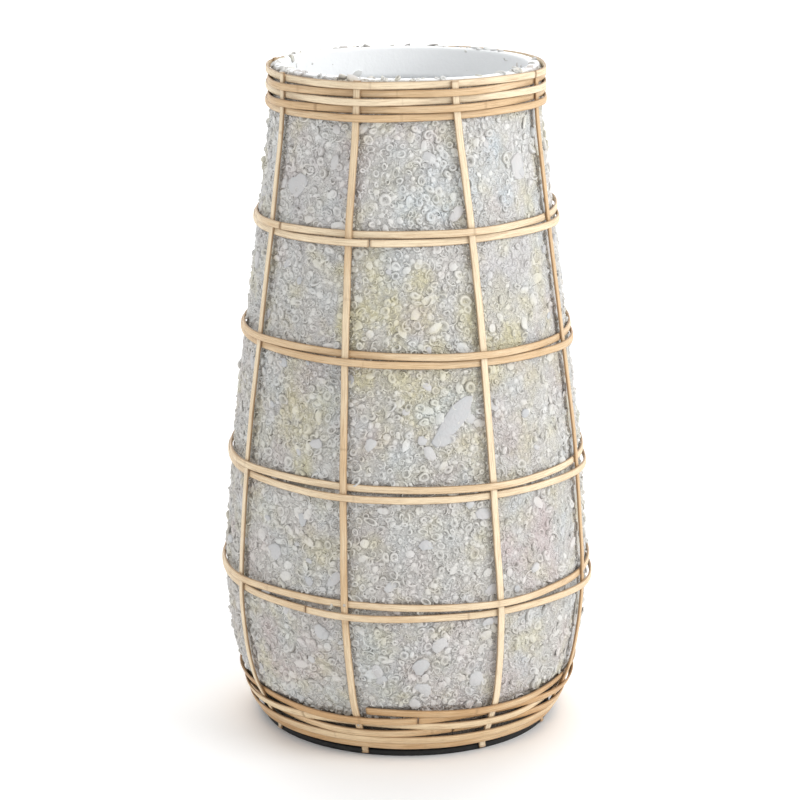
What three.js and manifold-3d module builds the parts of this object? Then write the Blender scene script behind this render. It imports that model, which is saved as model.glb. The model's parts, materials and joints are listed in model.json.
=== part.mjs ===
// A tall open-mouthed floor vase: a pale pot under a coat of shell mortar, on a black base plate, in a
// hand-woven cage of split rattan. The cage is eight upright stakes with single hoops woven between them.
// Millimetres, +Z up. The origin is the centre of the base plate's underside, and the front faces -Y.
import * as THREE from "three";
import { mergeVertices } from "three/addons/utils/BufferGeometryUtils.js";
import Module from "manifold-3d";

const wasm = await Module();
wasm.setup();

// ---------------------------------------------------------------- driving dimensions

const HEIGHT = 600; // floor to rim
const BASE_RADIUS = 133;
const BASE_THICKNESS = 5;
const GAP = 0.3; // between pieces that touch

// Outer face of the mortar, from the foot up to the rim: height, radius.
const OUTLINE = [
  [5.3, 129.8],
  [28, 140.8],
  [58, 154.8],
  [92, 161.8],
  [140, 165.2],
  [200, 161.8],
  [280, 155.0],
  [380, 142.6],
  [500, 127.4],
  [560, 120.2],
  [HEIGHT, 118.8],
];

const MORTAR_THICKNESS = 3;
const POT_WALL = 6;
const POT_FLOOR = 9;
const LIP_DEPTH = 30; // how far the mortar laps down inside the mouth
const LIP_THICKNESS = 2;
const RIM_ROUND = 4;

const STAKE_WIDTH = 6.6;
const STAKE_THICKNESS = 2.7;
const STAKE_FOOT = 2.5; // height of a stake's lower end
const STAKE_TOP = HEIGHT - 1;
const STAKE_STEPS = 30;
const STAKE_STEP_GROWTH = 1.15; // steps are shorter at the foot, where the pot curves most

const CANE_WIDTH = 6.1;
const CANE_THICKNESS = 2.5;
const CANE_STEP = 9.2; // degrees of azimuth for each length of a hoop
const CANE_BUTT = 1.2; // gap between a hoop's two cut ends

// How far the middle of each piece stands off the mortar.
const BEHIND = 1.9; // a hoop that passes behind a stake, or lies on the mortar
const UPRIGHT = 5.0; // a stake
const INFRONT = 8.2; // a hoop that passes in front of a stake
const BEND = 3; // how sharply a hoop dips from the front of a stake to the mortar
const FOOT_BEND = 1; // the same for the foot hoops, which lie straighter

// Where each stake stands, as azimuths in degrees from the front, positive to the right, at its foot,
// belly, shoulder and rim. The uprights are set by eye, so they lean a little.
const STAKE_LEVELS = [0, 200, 457, HEIGHT];
const STAKES = [
  [-58.5, -60.5, -59.2, -59.5],
  [-15.8, -19, -21, -19.6],
  [30.3, 28.2, 24.5, 19],
  [66.5, 69.3, 66, 65],
  [112, 114, 112, 110],
  [159, 160, 158, 156],
  [204, 206, 205, 202],
  [253, 252, 251, 253],
];
const [ODD, EVEN, ALL] = [1, 0, -1]; // the stakes that a hoop passes in front of

// Rim hoops, from the top one down.
const RIM_TOP = 595.6;
const RIM_PITCH = 6.8;
const RIM_TILT = [1.5, 1.85, 2.2, 2.55, 2.9]; // how much higher each lies at the right than at the middle
const RIM_CUTS = [61, 180, 137, 228, 90];

// Pairs of hoops at the four levels: heights of the upper and lower hoop, tilt, and azimuths of the cuts.
const LEVELS = [
  { upper: 470.5, lower: 463.7, tilt: 1.9, cuts: [-52, -13] },
  { upper: 367.5, lower: 360.6, tilt: -2.3, cuts: [181, 137] },
  { upper: 253.9, lower: 245.1, tilt: -1.5, cuts: [92, 230] },
  { upper: 150.4, lower: 140.8, tilt: -2.0, cuts: [136, -31] },
];

// Foot hoops, from the top one down.
const FOOT_TOP = 50;
const FOOT_PITCH = 6.95;
const FOOT_WIDTH = 6.6;
const FOOT_CUTS = [-13.5, 3.8, 182, 16.5, 137, 228];
const FOOT_FRONTS = [EVEN, ODD, EVEN, ODD, ALL, ALL];
const FOOT_TOP_SPAN = 278; // the top foot hoop goes only part of the way round
const FOOT_TUCK = 8; // a stake bends in towards this height, under the last two hoops
const FOOT_RELEASE = 28; // above this height it stands at its full distance
const FOOT_UPRIGHT = 2.2; // how far the middle of a stake's lower end stands off

// Nails hold the odd stakes at the third foot hoop and at the upper hoop of the lowest pair.
const NAIL_LENGTH = 14;
const NAIL_RADIUS = 0.6;
const NAIL_HEAD_RADIUS = 1.5;
const NAIL_HEAD = 0.7;
const NAIL_SIDES = 6;

const ROUND_STEPS = 40; // facets round the pot, the coat and the base

const MATERIALS = {
  pot: new THREE.MeshStandardMaterial({ color: 0xe4e6e8, roughness: 0.75, metalness: 0 }),
  mortar: new THREE.MeshStandardMaterial({ color: 0xc6c1b8, roughness: 0.9, metalness: 0 }),
  base: new THREE.MeshStandardMaterial({ color: 0x0b0b0b, roughness: 0.6, metalness: 0 }),
  rattan: new THREE.MeshStandardMaterial({ color: 0xdcb98a, roughness: 0.55, metalness: 0 }),
  nail: new THREE.MeshStandardMaterial({ color: 0x9a938a, roughness: 0.4, metalness: 1 }),
};

// ---------------------------------------------------------------- the pot's outline

const degrees = THREE.MathUtils.degToRad;

// A smooth value at x through a list of [x, value] points, with the slope at each point taken
// from its neighbours.
function smoothAt(points, x) {
  const last = points.length - 1;
  let i = points.findIndex((point, k) => k < last && x <= points[k + 1][0]);
  if (i < 0) i = last - 1;
  const slope = (k) => {
    const before = points[Math.max(k - 1, 0)];
    const after = points[Math.min(k + 1, last)];
    return (after[1] - before[1]) / (after[0] - before[0]);
  };
  const [x0, y0] = points[i];
  const [x1, y1] = points[i + 1];
  const span = x1 - x0;
  const t = THREE.MathUtils.clamp((x - x0) / span, 0, 1);
  const bend = (1 + 2 * t) * (1 - t) ** 2 * y0 + t * t * (3 - 2 * t) * y1;
  return bend + t * (1 - t) ** 2 * span * slope(i) - t * t * (1 - t) * span * slope(i + 1);
}

const mortarRadius = (z) => smoothAt(OUTLINE, z);

// The unit normal of the mortar's face at an azimuth and height.
function outward(azimuth, z) {
  const slope = (mortarRadius(z + 1) - mortarRadius(z - 1)) / 2;
  return new THREE.Vector3(Math.sin(azimuth), -Math.cos(azimuth), -slope).normalize();
}

// A point that stands off the mortar's face at an azimuth and height.
function standOff(azimuth, z, distance, target = new THREE.Vector3()) {
  const radius = mortarRadius(z);
  target.set(radius * Math.sin(azimuth), -radius * Math.cos(azimuth), z);
  return target.addScaledVector(outward(azimuth, z), distance);
}

// ---------------------------------------------------------------- canes

// A cane's route over the mortar. route(t) gives its azimuth, height and distance off the mortar, and its
// section keeps its flat side to the mortar all the way.
class CanePath extends THREE.Curve {
  constructor(route) {
    super();
    this.route = route;
  }

  getPoint(t, target = new THREE.Vector3()) {
    const { azimuth, z, distance } = this.route(t);
    return standOff(azimuth, z, distance, target);
  }

  getPointAt(t, target) {
    return this.getPoint(t, target);
  }

  computeFrenetFrames(steps) {
    const frames = { tangents: [], normals: [], binormals: [] };
    for (let i = 0; i <= steps; i++) {
      const ahead = this.getPoint(Math.min(i + 1, steps) / steps);
      const behind = this.getPoint(Math.max(i - 1, 0) / steps);
      const { azimuth, z } = this.route(i / steps);
      const tangent = ahead.sub(behind).normalize();
      const across = new THREE.Vector3().crossVectors(tangent, outward(azimuth, z)).normalize();
      frames.tangents.push(tangent);
      frames.binormals.push(across);
      frames.normals.push(new THREE.Vector3().crossVectors(across, tangent));
    }
    return frames;
  }
}

// Split cane: flat on the side against the pot, and crowned on the outside.
function caneSection(width, thickness, crown) {
  const [half, inner, outer] = [width / 2, -thickness / 2, thickness / 2];
  const shoulder = thickness * 0.1;
  const section = [
    [inner, -half],
    [shoulder, -half],
    ...crown.map((y) => [outer, y * half]),
    [shoulder, half],
    [inner, half],
  ];
  return new THREE.Shape(section.map(([x, y]) => new THREE.Vector2(x, y)));
}

function cane(section, steps, route) {
  const extrudePath = new CanePath(route);
  return new THREE.ExtrudeGeometry(section, { steps, extrudePath, bevelEnabled: false });
}

const stakeAzimuth = (stake, z) => smoothAt(STAKE_LEVELS.map((level, i) => [level, STAKES[stake][i]]), z);

// How far a stake's middle stands off the mortar: its lower end bends in and clears the base plate.
function stakeDistance(z) {
  if (z >= FOOT_RELEASE) return UPRIGHT;
  const release = THREE.MathUtils.smoothstep(z, FOOT_TUCK, FOOT_RELEASE);
  const distance = THREE.MathUtils.lerp(FOOT_UPRIGHT, UPRIGHT, release);
  const clearOfBase = BASE_RADIUS + STAKE_THICKNESS / 2 + 3 * GAP - mortarRadius(z);
  return Math.max(distance, clearOfBase);
}

function stake(index) {
  const section = caneSection(STAKE_WIDTH, STAKE_THICKNESS, [-0.4, 0.4]);
  return cane(section, STAKE_STEPS, (t) => {
    const z = THREE.MathUtils.lerp(STAKE_FOOT, STAKE_TOP, t ** STAKE_STEP_GROWTH);
    return { azimuth: degrees(stakeAzimuth(index, z)), z, distance: stakeDistance(z) };
  });
}

// Every azimuth at which a hoop is set out: its start and end, each stake it meets, and even steps between.
function hoopAzimuths(height, start, span) {
  const crossings = [];
  STAKES.forEach((levels, index) => {
    const turn = (((stakeAzimuth(index, height) - start) % 360) + 360) % 360;
    if (turn > CANE_STEP / 4 && turn < span - CANE_STEP / 4) crossings.push(start + turn);
  });
  const corners = [start, ...crossings.sort((a, b) => a - b), start + span];
  const azimuths = [start];
  for (let i = 1; i < corners.length; i++) {
    const count = Math.ceil((corners[i] - corners[i - 1]) / CANE_STEP);
    for (let k = 1; k <= count; k++) {
      azimuths.push(THREE.MathUtils.lerp(corners[i - 1], corners[i], k / count));
    }
  }
  return azimuths;
}

// How far the middle of a hoop stands off the mortar: it lies on the mortar, behind each stake that it
// doesn't pass, and rises over each one that it does.
function hoopDistance(hoop, azimuth) {
  const top = stakeDistance(hoop.height + hoop.width / 2) + INFRONT - UPRIGHT;
  if (hoop.infront === ALL) return top;
  const stakes = STAKES.map((levels, index) => ({ index, at: stakeAzimuth(index, hoop.height) }));
  let rise = 0;
  stakes.forEach(({ index, at }) => {
    if (index % 2 !== hoop.infront) return;
    const turn = ((((azimuth - at) % 360) + 540) % 360) - 180;
    const neighbour = stakes[(index + (turn > 0 ? 1 : STAKES.length - 1)) % STAKES.length].at;
    const reach = Math.abs(((((neighbour - at) % 360) + 540) % 360) - 180);
    if (Math.abs(turn) < reach) rise += ((1 + Math.cos((Math.PI * turn) / reach)) / 2) ** hoop.bend;
  });
  return THREE.MathUtils.lerp(BEHIND, top, Math.min(rise, 1));
}

const hoopHeight = (hoop, azimuth) => hoop.height + hoop.tilt * Math.sin(degrees(azimuth));

function hoopShape(hoop) {
  const butt = THREE.MathUtils.radToDeg(CANE_BUTT / mortarRadius(hoop.height));
  const azimuths = hoopAzimuths(hoop.height, hoop.cut + butt / 2, hoop.span - butt);
  const steps = azimuths.length - 1;
  return cane(caneSection(hoop.width, CANE_THICKNESS, [0]), steps, (t) => {
    const azimuth = azimuths[Math.round(t * steps)];
    const [z, distance] = [hoopHeight(hoop, azimuth), hoopDistance(hoop, azimuth)];
    return { azimuth: degrees(azimuth), z, distance };
  });
}

const HOOPS = [];
RIM_CUTS.forEach((cut, i) => {
  const height = RIM_TOP - i * RIM_PITCH;
  const infront = i % 2 ? EVEN : ODD;
  const shared = { tilt: RIM_TILT[i], span: 360, width: CANE_WIDTH, bend: BEND };
  HOOPS.push({ name: `rim_hoop_${i + 1}`, height, cut, infront, ...shared });
});
LEVELS.forEach(({ upper, lower, tilt, cuts }, i) => {
  const shared = { tilt, span: 360, width: CANE_WIDTH, bend: BEND };
  HOOPS.push({ name: `level_${i + 1}_upper_hoop`, height: upper, cut: cuts[0], infront: EVEN, ...shared });
  HOOPS.push({ name: `level_${i + 1}_lower_hoop`, height: lower, cut: cuts[1], infront: ODD, ...shared });
});
FOOT_CUTS.forEach((cut, i) => {
  const height = FOOT_TOP - i * FOOT_PITCH;
  const span = i === 0 ? FOOT_TOP_SPAN : 360;
  const shared = { tilt: 0, span, width: FOOT_WIDTH, bend: FOOT_BEND };
  HOOPS.push({ name: `foot_hoop_${i + 1}`, height, cut, infront: FOOT_FRONTS[i], ...shared });
});

// ---------------------------------------------------------------- solids

// A closed mesh as a manifold-3d solid.
function toSolid(geometry) {
  const bare = geometry.clone();
  bare.deleteAttribute("normal");
  bare.deleteAttribute("uv");
  const merged = mergeVertices(bare, 1e-3);
  return new wasm.Manifold(
    new wasm.Mesh({
      numProp: 3,
      vertProperties: merged.attributes.position.array,
      triVerts: new Uint32Array(merged.index.array),
    }),
  );
}

// The geometry of a manifold-3d solid.
function toGeometry(solid) {
  const { vertProperties, triVerts } = solid.getMesh();
  return new THREE.BufferGeometry()
    .setAttribute("position", new THREE.BufferAttribute(vertProperties, 3))
    .setIndex(new THREE.BufferAttribute(triVerts, 1));
}

// A solid turned round +Z from an outline of [radius, height] points.
function turned(outline, sides = ROUND_STEPS) {
  const points = outline.map(([radius, z]) => new THREE.Vector2(radius, -z));
  return new THREE.LatheGeometry(points, sides).rotateX(-Math.PI / 2);
}

// Evenly spaced heights from one level up to another.
function heights(from, to, count) {
  return Array.from({ length: count + 1 }, (_, i) => THREE.MathUtils.lerp(from, to, i / count));
}

const COAT_FOOT = BASE_THICKNESS + GAP;
const COAT_STEPS = 18;
const POT_STEPS = 12;
const potOuter = (z) => mortarRadius(z) - MORTAR_THICKNESS - GAP;
const potInner = (z) => potOuter(z) - POT_WALL;
const POT_RIM = HEIGHT - MORTAR_THICKNESS - GAP;

function pot() {
  const inner = heights(COAT_FOOT + POT_FLOOR, POT_RIM, POT_STEPS).map((z) => [potInner(z), z]);
  const outer = heights(COAT_FOOT, POT_RIM, POT_STEPS).map((z) => [potOuter(z), z]);
  return turned([[0, COAT_FOOT + POT_FLOOR], ...inner, ...outer.reverse(), [0, COAT_FOOT]]);
}

// The coat wraps the pot's outside, rolls over its rim and laps down inside the mouth.
function mortarCoat() {
  const lipOuter = potInner(POT_RIM) - GAP;
  const lipInner = lipOuter - LIP_THICKNESS;
  const rimOuter = mortarRadius(HEIGHT);
  const outer = heights(COAT_FOOT, HEIGHT - RIM_ROUND, COAT_STEPS).map((z) => [mortarRadius(z), z]);
  const back = heights(COAT_FOOT, POT_RIM + GAP, POT_STEPS).map((z) => [potOuter(z) + GAP, z]);
  const rim = [
    [rimOuter - RIM_ROUND * 0.3, HEIGHT - RIM_ROUND * 0.3],
    [rimOuter - RIM_ROUND, HEIGHT],
    [lipInner + RIM_ROUND / 2, HEIGHT],
    [lipInner, HEIGHT - RIM_ROUND / 2],
  ];
  const lip = [
    [lipInner, HEIGHT - LIP_DEPTH],
    [lipOuter, HEIGHT - LIP_DEPTH],
    [lipOuter, POT_RIM + GAP],
  ];
  const outline = [...back, ...lip.reverse(), ...rim.reverse(), ...outer.reverse()];
  return turned([...outline, outline[0]]);
}

function basePlate() {
  const bevel = 1;
  return turned([
    [0, BASE_THICKNESS],
    [BASE_RADIUS - bevel, BASE_THICKNESS],
    [BASE_RADIUS, BASE_THICKNESS - bevel],
    [BASE_RADIUS, 0],
    [0, 0],
  ]);
}

// Turns and moves a shape made along +Z so that it points out of the mortar at a nail's place.
function setNail(geometry, { azimuth, z }) {
  const turn = new THREE.Quaternion().setFromUnitVectors(new THREE.Vector3(0, 0, 1), outward(azimuth, z));
  const headFoot = standOff(azimuth, z, UPRIGHT + STAKE_THICKNESS / 2 + GAP);
  return geometry.applyQuaternion(turn).translate(headFoot.x, headFoot.y, headFoot.z);
}

function nail(place) {
  const outline = [
    [0, NAIL_HEAD],
    [NAIL_HEAD_RADIUS * 0.8, NAIL_HEAD],
    [NAIL_HEAD_RADIUS, NAIL_HEAD / 2],
    [NAIL_HEAD_RADIUS, 0],
    [NAIL_RADIUS, 0],
    [NAIL_RADIUS, -NAIL_LENGTH],
    [0, -NAIL_LENGTH],
  ];
  return setNail(turned(outline, NAIL_SIDES), place);
}

function nailHole(place) {
  const radius = NAIL_RADIUS + GAP;
  const depth = NAIL_LENGTH + GAP;
  const outline = [
    [0, depth],
    [radius, depth],
    [radius, -depth],
    [0, -depth],
  ];
  return setNail(turned(outline, NAIL_SIDES), place);
}

// ---------------------------------------------------------------- assembly

const vase = new THREE.Group();
vase.name = "shell_mortar_vase";

function add(name, geometry, material) {
  const mesh = new THREE.Mesh(geometry, material);
  mesh.name = name;
  vase.add(mesh);
}

// Nails go through an odd stake and the hoop behind it, into the pot's wall.
const NAILED_HOOPS = ["foot_hoop_3", "level_4_upper_hoop"];
const nails = [];
NAILED_HOOPS.forEach((hoopName) => {
  const hoop = HOOPS.find(({ name }) => name === hoopName);
  for (let index = ODD; index < STAKES.length; index += 2) {
    const azimuth = stakeAzimuth(index, hoop.height);
    const name = `${hoopName.split("_hoop")[0]}_nail_${index + 1}`;
    nails.push({ name, hoopName, index, azimuth: degrees(azimuth), z: hoopHeight(hoop, azimuth) });
  }
});

function drilled(geometry, places) {
  const holes = places.map((place) => toSolid(nailHole(place)));
  return toGeometry(holes.reduce((body, hole) => body.subtract(hole), toSolid(geometry)));
}

add("base_plate", basePlate(), MATERIALS.base);
add("pot", drilled(pot(), nails), MATERIALS.pot);
add("shell_mortar_coat", drilled(mortarCoat(), nails), MATERIALS.mortar);

STAKES.forEach((levels, index) => {
  const places = nails.filter((place) => place.index === index);
  add(`stake_${index + 1}`, drilled(stake(index), places), MATERIALS.rattan);
});

HOOPS.forEach((hoop) => {
  const places = nails.filter(({ hoopName }) => hoopName === hoop.name);
  add(hoop.name, drilled(hoopShape(hoop), places), MATERIALS.rattan);
});

nails.forEach((place) => add(place.name, nail(place), MATERIALS.nail));

export default vase;
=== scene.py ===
"""A tall floor vase: a pale pot under shell mortar, in a woven cage of split rattan, on a black base."""

import json
import math
import random

import bpy
import numpy as np
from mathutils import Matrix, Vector

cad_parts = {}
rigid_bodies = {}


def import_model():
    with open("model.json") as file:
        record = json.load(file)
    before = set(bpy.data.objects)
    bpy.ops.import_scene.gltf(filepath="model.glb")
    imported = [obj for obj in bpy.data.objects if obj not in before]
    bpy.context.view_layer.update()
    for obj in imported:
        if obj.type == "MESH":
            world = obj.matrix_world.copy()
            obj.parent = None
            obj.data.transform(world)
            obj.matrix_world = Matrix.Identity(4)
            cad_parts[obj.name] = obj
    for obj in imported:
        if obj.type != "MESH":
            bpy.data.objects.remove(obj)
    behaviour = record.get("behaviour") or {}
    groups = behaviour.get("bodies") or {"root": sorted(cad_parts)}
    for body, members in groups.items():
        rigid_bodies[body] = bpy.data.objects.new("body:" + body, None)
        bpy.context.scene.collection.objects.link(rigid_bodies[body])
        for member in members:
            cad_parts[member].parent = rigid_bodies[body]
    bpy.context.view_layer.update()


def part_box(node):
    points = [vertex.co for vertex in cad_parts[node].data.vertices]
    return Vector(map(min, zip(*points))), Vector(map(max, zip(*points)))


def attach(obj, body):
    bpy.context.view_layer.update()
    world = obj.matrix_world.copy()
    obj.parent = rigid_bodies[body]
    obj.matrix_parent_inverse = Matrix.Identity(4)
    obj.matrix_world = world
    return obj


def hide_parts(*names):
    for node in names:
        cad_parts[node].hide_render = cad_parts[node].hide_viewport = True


bl_info = {
    "name": "Shell mortar floor vase",
    "version": (1, 0, 0),
    "blender": (4, 5, 0),
    "location": "3D View > Sidebar > Vase",
    "description": "Builds a floor vase of shell mortar in a rattan cage around its packed frame",
    "category": "Add Mesh",
}

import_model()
BODY = "root"
MM = 0.001

# ---------------------------------------------------------------- sizes, in millimetres and degrees

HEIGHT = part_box("shell_mortar_coat")[1].z / MM
BASE_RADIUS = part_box("base_plate")[1].x / MM
BASE_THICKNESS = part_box("base_plate")[1].z / MM
COAT_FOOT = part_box("shell_mortar_coat")[0].z / MM

# Mean outer face of the mortar: height, radius.
OUTLINE = (
    (5.3, 129.8),
    (28, 140.8),
    (58, 154.8),
    (92, 161.8),
    (140, 165.2),
    (200, 161.8),
    (280, 155.0),
    (380, 142.6),
    (500, 127.4),
    (560, 120.2),
    (HEIGHT, 118.8),
)
MORTAR_THICKNESS = 3
SHELL_DEPTH = 0.9
POT_WALL = 6
POT_FLOOR = 9
LIP_DEPTH = 30
LIP_THICKNESS = 2
GAP = 0.3

# How far the middle of each cane stands off the mortar.
BEHIND = 1.75
UPRIGHT = 4.4
INFRONT = 7.1
BEND = 3
FOOT_BEND = 1

# Stakes, as azimuths from the front at four heights.
STAKE_LEVELS = (0, 200, 457, HEIGHT)
STAKES = (
    (-58.5, -60.5, -59.2, -59.5),
    (-15.8, -19, -21, -19.6),
    (30.3, 28.2, 24.5, 19),
    (66.5, 69.3, 66, 65),
    (112, 114, 112, 110),
    (159, 160, 158, 156),
    (204, 206, 205, 202),
    (253, 252, 251, 253),
)
STAKE_FOOT = 2.5
STAKE_TOP = HEIGHT - 1
ODD, EVEN, ALL = 1, 0, -1

RIM_TOP = 595.6
RIM_PITCH = 6.8
RIM_TILT = (1.5, 1.85, 2.2, 2.55, 2.9)
RIM_CUTS = (61, 180, 137, 228, 90)
LEVELS = (
    (470.5, 463.7, 1.9, (-52, -13)),
    (367.5, 360.6, -2.3, (181, 137)),
    (253.9, 245.1, -1.5, (92, 230)),
    (150.4, 140.8, -2.0, (136, -31)),
)
FOOT_TOP = 50
FOOT_PITCH = 6.95
FOOT_CUTS = (-13.5, 3.8, 182, 16.5, 137, 228)
FOOT_FRONTS = (EVEN, ODD, EVEN, ODD, ALL, ALL)
FOOT_TOP_SPAN = 278
FOOT_TUCK = 8
FOOT_RELEASE = 28
FOOT_UPRIGHT = 2.2
BASE_CLEARANCE = 1.9
CANE_BUTT = 1.0
NAIL_STAND = 1.35

# Bands of height under the top foot hoop: where shells thin out to none, and where shade is painted into the
# mortar behind the foot hoops.
FOOT_SHELLS = (FOOT_TOP - 12, FOOT_TOP - 8)
FOOT_SHADE = (FOOT_TOP - 10, FOOT_TOP - 4)

# Growth rings of the cane that stand out: hoop or stake, azimuth or height, strength.
MARKED_JOINTS = {
    "rim_hoop_1": ((-14, 0.5),),
    "rim_hoop_2": ((-48, 0.5),),
    "rim_hoop_4": ((-39, 1.0),),
    "level_3_upper_hoop": ((-66, 0.6),),
    "level_3_lower_hoop": ((-16, 0.5),),
    "level_4_upper_hoop": ((-46, 0.5),),
    "foot_hoop_3": ((-38, 1.0),),
    "stake_2": ((287, 0.6),),
}

NAILED = (("foot_hoop_3", "foot"), ("level_4_upper_hoop", "level_4_upper"))

# Stains in the mortar: azimuth, height, half width, half height, and how yellow, blue and pink.
STAINS = (
    (-12, 395, 16, 60, (1.0, 0.0, 0.0)),
    (8, 340, 26, 40, (0.8, 0.0, 0.0)),
    (33, 385, 15, 45, (0.9, 0.0, 0.0)),
    (-38, 300, 14, 50, (0.8, 0.0, 0.0)),
    (6, 415, 12, 30, (0.8, 0.0, 0.0)),
    (22, 300, 9, 60, (0.6, 0.0, 0.0)),
    (12, 500, 20, 30, (0.0, 0.8, 0.0)),
    (40, 520, 14, 30, (0.0, 0.9, 0.0)),
    (42, 430, 20, 40, (0.0, 0.5, 0.3)),
    (-36, 500, 20, 40, (0.0, 0.4, 0.4)),
    (16, 320, 14, 20, (0.0, 0.9, 0.0)),
    (44, 190, 20, 40, (0.0, 0.3, 0.9)),
    (-40, 90, 22, 30, (0.0, 0.0, 0.8)),
    (20, 90, 26, 40, (0.0, 0.2, 0.5)),
    (5, 200, 24, 40, (0.1, 0.3, 0.1)),
    (150, 300, 30, 60, (0.8, 0.0, 0.0)),
    (220, 420, 24, 50, (0.7, 0.1, 0.0)),
    (185, 160, 30, 50, (0.0, 0.2, 0.8)),
    (110, 470, 26, 50, (0.0, 0.8, 0.0)),
)

# Large flat flakes: azimuth, height, width, length, and how far the length leans from the horizontal.
FLAKES = (
    (15, 311, 19, 50, 48),
    (12, 296, 9, 24, 20),
    (-47.5, 505, 21, 21, 45),
    (19, 487, 10, 16, 70),
    (49.6, 520, 19, 21, 80),
    (-45, 185, 14, 17, 60),
    (7.3, 285, 11, 12, 0),
    (-11.6, 292, 10, 11, 30),
    (4.5, 95, 14, 16, 15),
    (10, 115, 12, 15, 60),
    (5.6, 72, 12, 14, 0),
    (22.5, 78, 13, 17, 35),
    (25.5, 132, 8, 11, 20),
    (-27, 122, 12, 15, 40),
    (-9, 90, 10, 12, 80),
    (-49, 148, 10, 12, 0),
    (95, 410, 14, 20, 30),
    (140, 210, 15, 18, 70),
    (172, 480, 12, 22, 50),
    (178, 110, 16, 17, 10),
    (215, 330, 13, 26, 130),
    (240, 180, 15, 16, 45),
    (285, 430, 12, 17, 100),
    (128, 330, 11, 14, 20),
)

# Where the coat holds fewer shells: azimuths where they thin out and come back, and the share missing.
SPARSE = ((20, 32), (100, 125), 0.55)

# Courses of mortar between the pairs of hoops, from the foot up.
COURSES = (14, 80, 155, 230, 305, 380, 455, 530, HEIGHT + 5)


# ---------------------------------------------------------------- the pot's outline


def smooth_at(points, x):
    """Smooth values at x through (x, value) points, each slope taken from the point's neighbours."""
    xs, ys = np.array(points, float).T
    slopes = np.empty_like(ys)
    slopes[1:-1] = (ys[2:] - ys[:-2]) / (xs[2:] - xs[:-2])
    slopes[0] = (ys[1] - ys[0]) / (xs[1] - xs[0])
    slopes[-1] = (ys[-1] - ys[-2]) / (xs[-1] - xs[-2])
    x = np.asarray(x, float)
    i = np.clip(np.searchsorted(xs, x, side="left") - 1, 0, len(xs) - 2)
    span = xs[i + 1] - xs[i]
    t = np.clip((x - xs[i]) / span, 0, 1)
    ends = (1 + 2 * t) * (1 - t) ** 2 * ys[i] + t * t * (3 - 2 * t) * ys[i + 1]
    return ends + span * t * (1 - t) * ((1 - t) * slopes[i] - t * slopes[i + 1])


def mortar_radius(z):
    return smooth_at(OUTLINE, z)


def inset_face(heights, depth):
    """Outline points that lie inside the mortar's mean face by a depth, as (radius, height)."""
    return [(float(mortar_radius(z)) - depth, float(z)) for z in heights]


def outward(azimuth, z):
    """Unit normals of the mortar's mean face, for azimuths in radians and heights in millimetres."""
    slope = (mortar_radius(z + 1) - mortar_radius(z - 1)) / 2
    normal = np.stack([np.sin(azimuth), -np.cos(azimuth), -slope + 0 * azimuth], axis=-1)
    return normal / np.linalg.norm(normal, axis=-1, keepdims=True)


def stand_off(azimuth, z, distance):
    """Points that stand off the mortar's mean face, in metres."""
    radius = mortar_radius(z)
    face = np.stack([radius * np.sin(azimuth), -radius * np.cos(azimuth), z + 0 * azimuth], axis=-1)
    return (face + outward(azimuth, z) * np.asarray(distance)[..., None]) * MM


def stake_azimuth(index, z):
    return smooth_at(tuple(zip(STAKE_LEVELS, STAKES[index])), z)


def smooth_step(x, low, high):
    t = np.clip((np.asarray(x, float) - low) / (high - low), 0, 1)
    return t * t * (3 - 2 * t)


def stake_distance(z):
    """How far a stake's middle stands off the mortar: its lower end bends in and clears the base plate."""
    release = smooth_step(z, FOOT_TUCK, FOOT_RELEASE)
    distance = FOOT_UPRIGHT + (UPRIGHT - FOOT_UPRIGHT) * release
    clear_of_base = BASE_RADIUS + BASE_CLEARANCE - mortar_radius(z)
    return np.where(np.asarray(z) < FOOT_RELEASE, np.maximum(distance, clear_of_base), UPRIGHT)


def hoop_height(hoop, azimuth):
    """A hoop's height at azimuths in radians, with its tilt."""
    return hoop["height"] + hoop["tilt"] * np.sin(azimuth)


def turn_between(azimuth, other):
    """The signed turn from one azimuth to another, in degrees."""
    return (np.asarray(azimuth) - other + 180) % 360 - 180


def hoop_distance(hoop, azimuth):
    """How far the middle of a hoop stands off the mortar at azimuths in degrees."""
    slack = (bpy.context.scene.vase_rattan.thickness - hoop["thickness"]) / MM / 2
    top = stake_distance(hoop["height"] + hoop["width"] / 2) + INFRONT - UPRIGHT - slack
    if hoop["infront"] == ALL:
        return np.full_like(azimuth, top)
    places = [float(stake_azimuth(i, hoop["height"])) for i in range(len(STAKES))]
    rise = np.zeros_like(azimuth)
    for index, place in enumerate(places):
        if hoop["infront"] != index % 2:
            continue
        turn = turn_between(azimuth, place)
        for side in (1, -1):
            reach = abs(turn_between(places[(index + side) % len(places)], place))
            near = (turn * side >= 0) & (abs(turn) < reach)
            rise += np.where(near, ((1 + np.cos(np.pi * turn / reach)) / 2) ** hoop["bend"], 0)
    return BEHIND + (top - BEHIND) * np.minimum(rise, 1)


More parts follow.
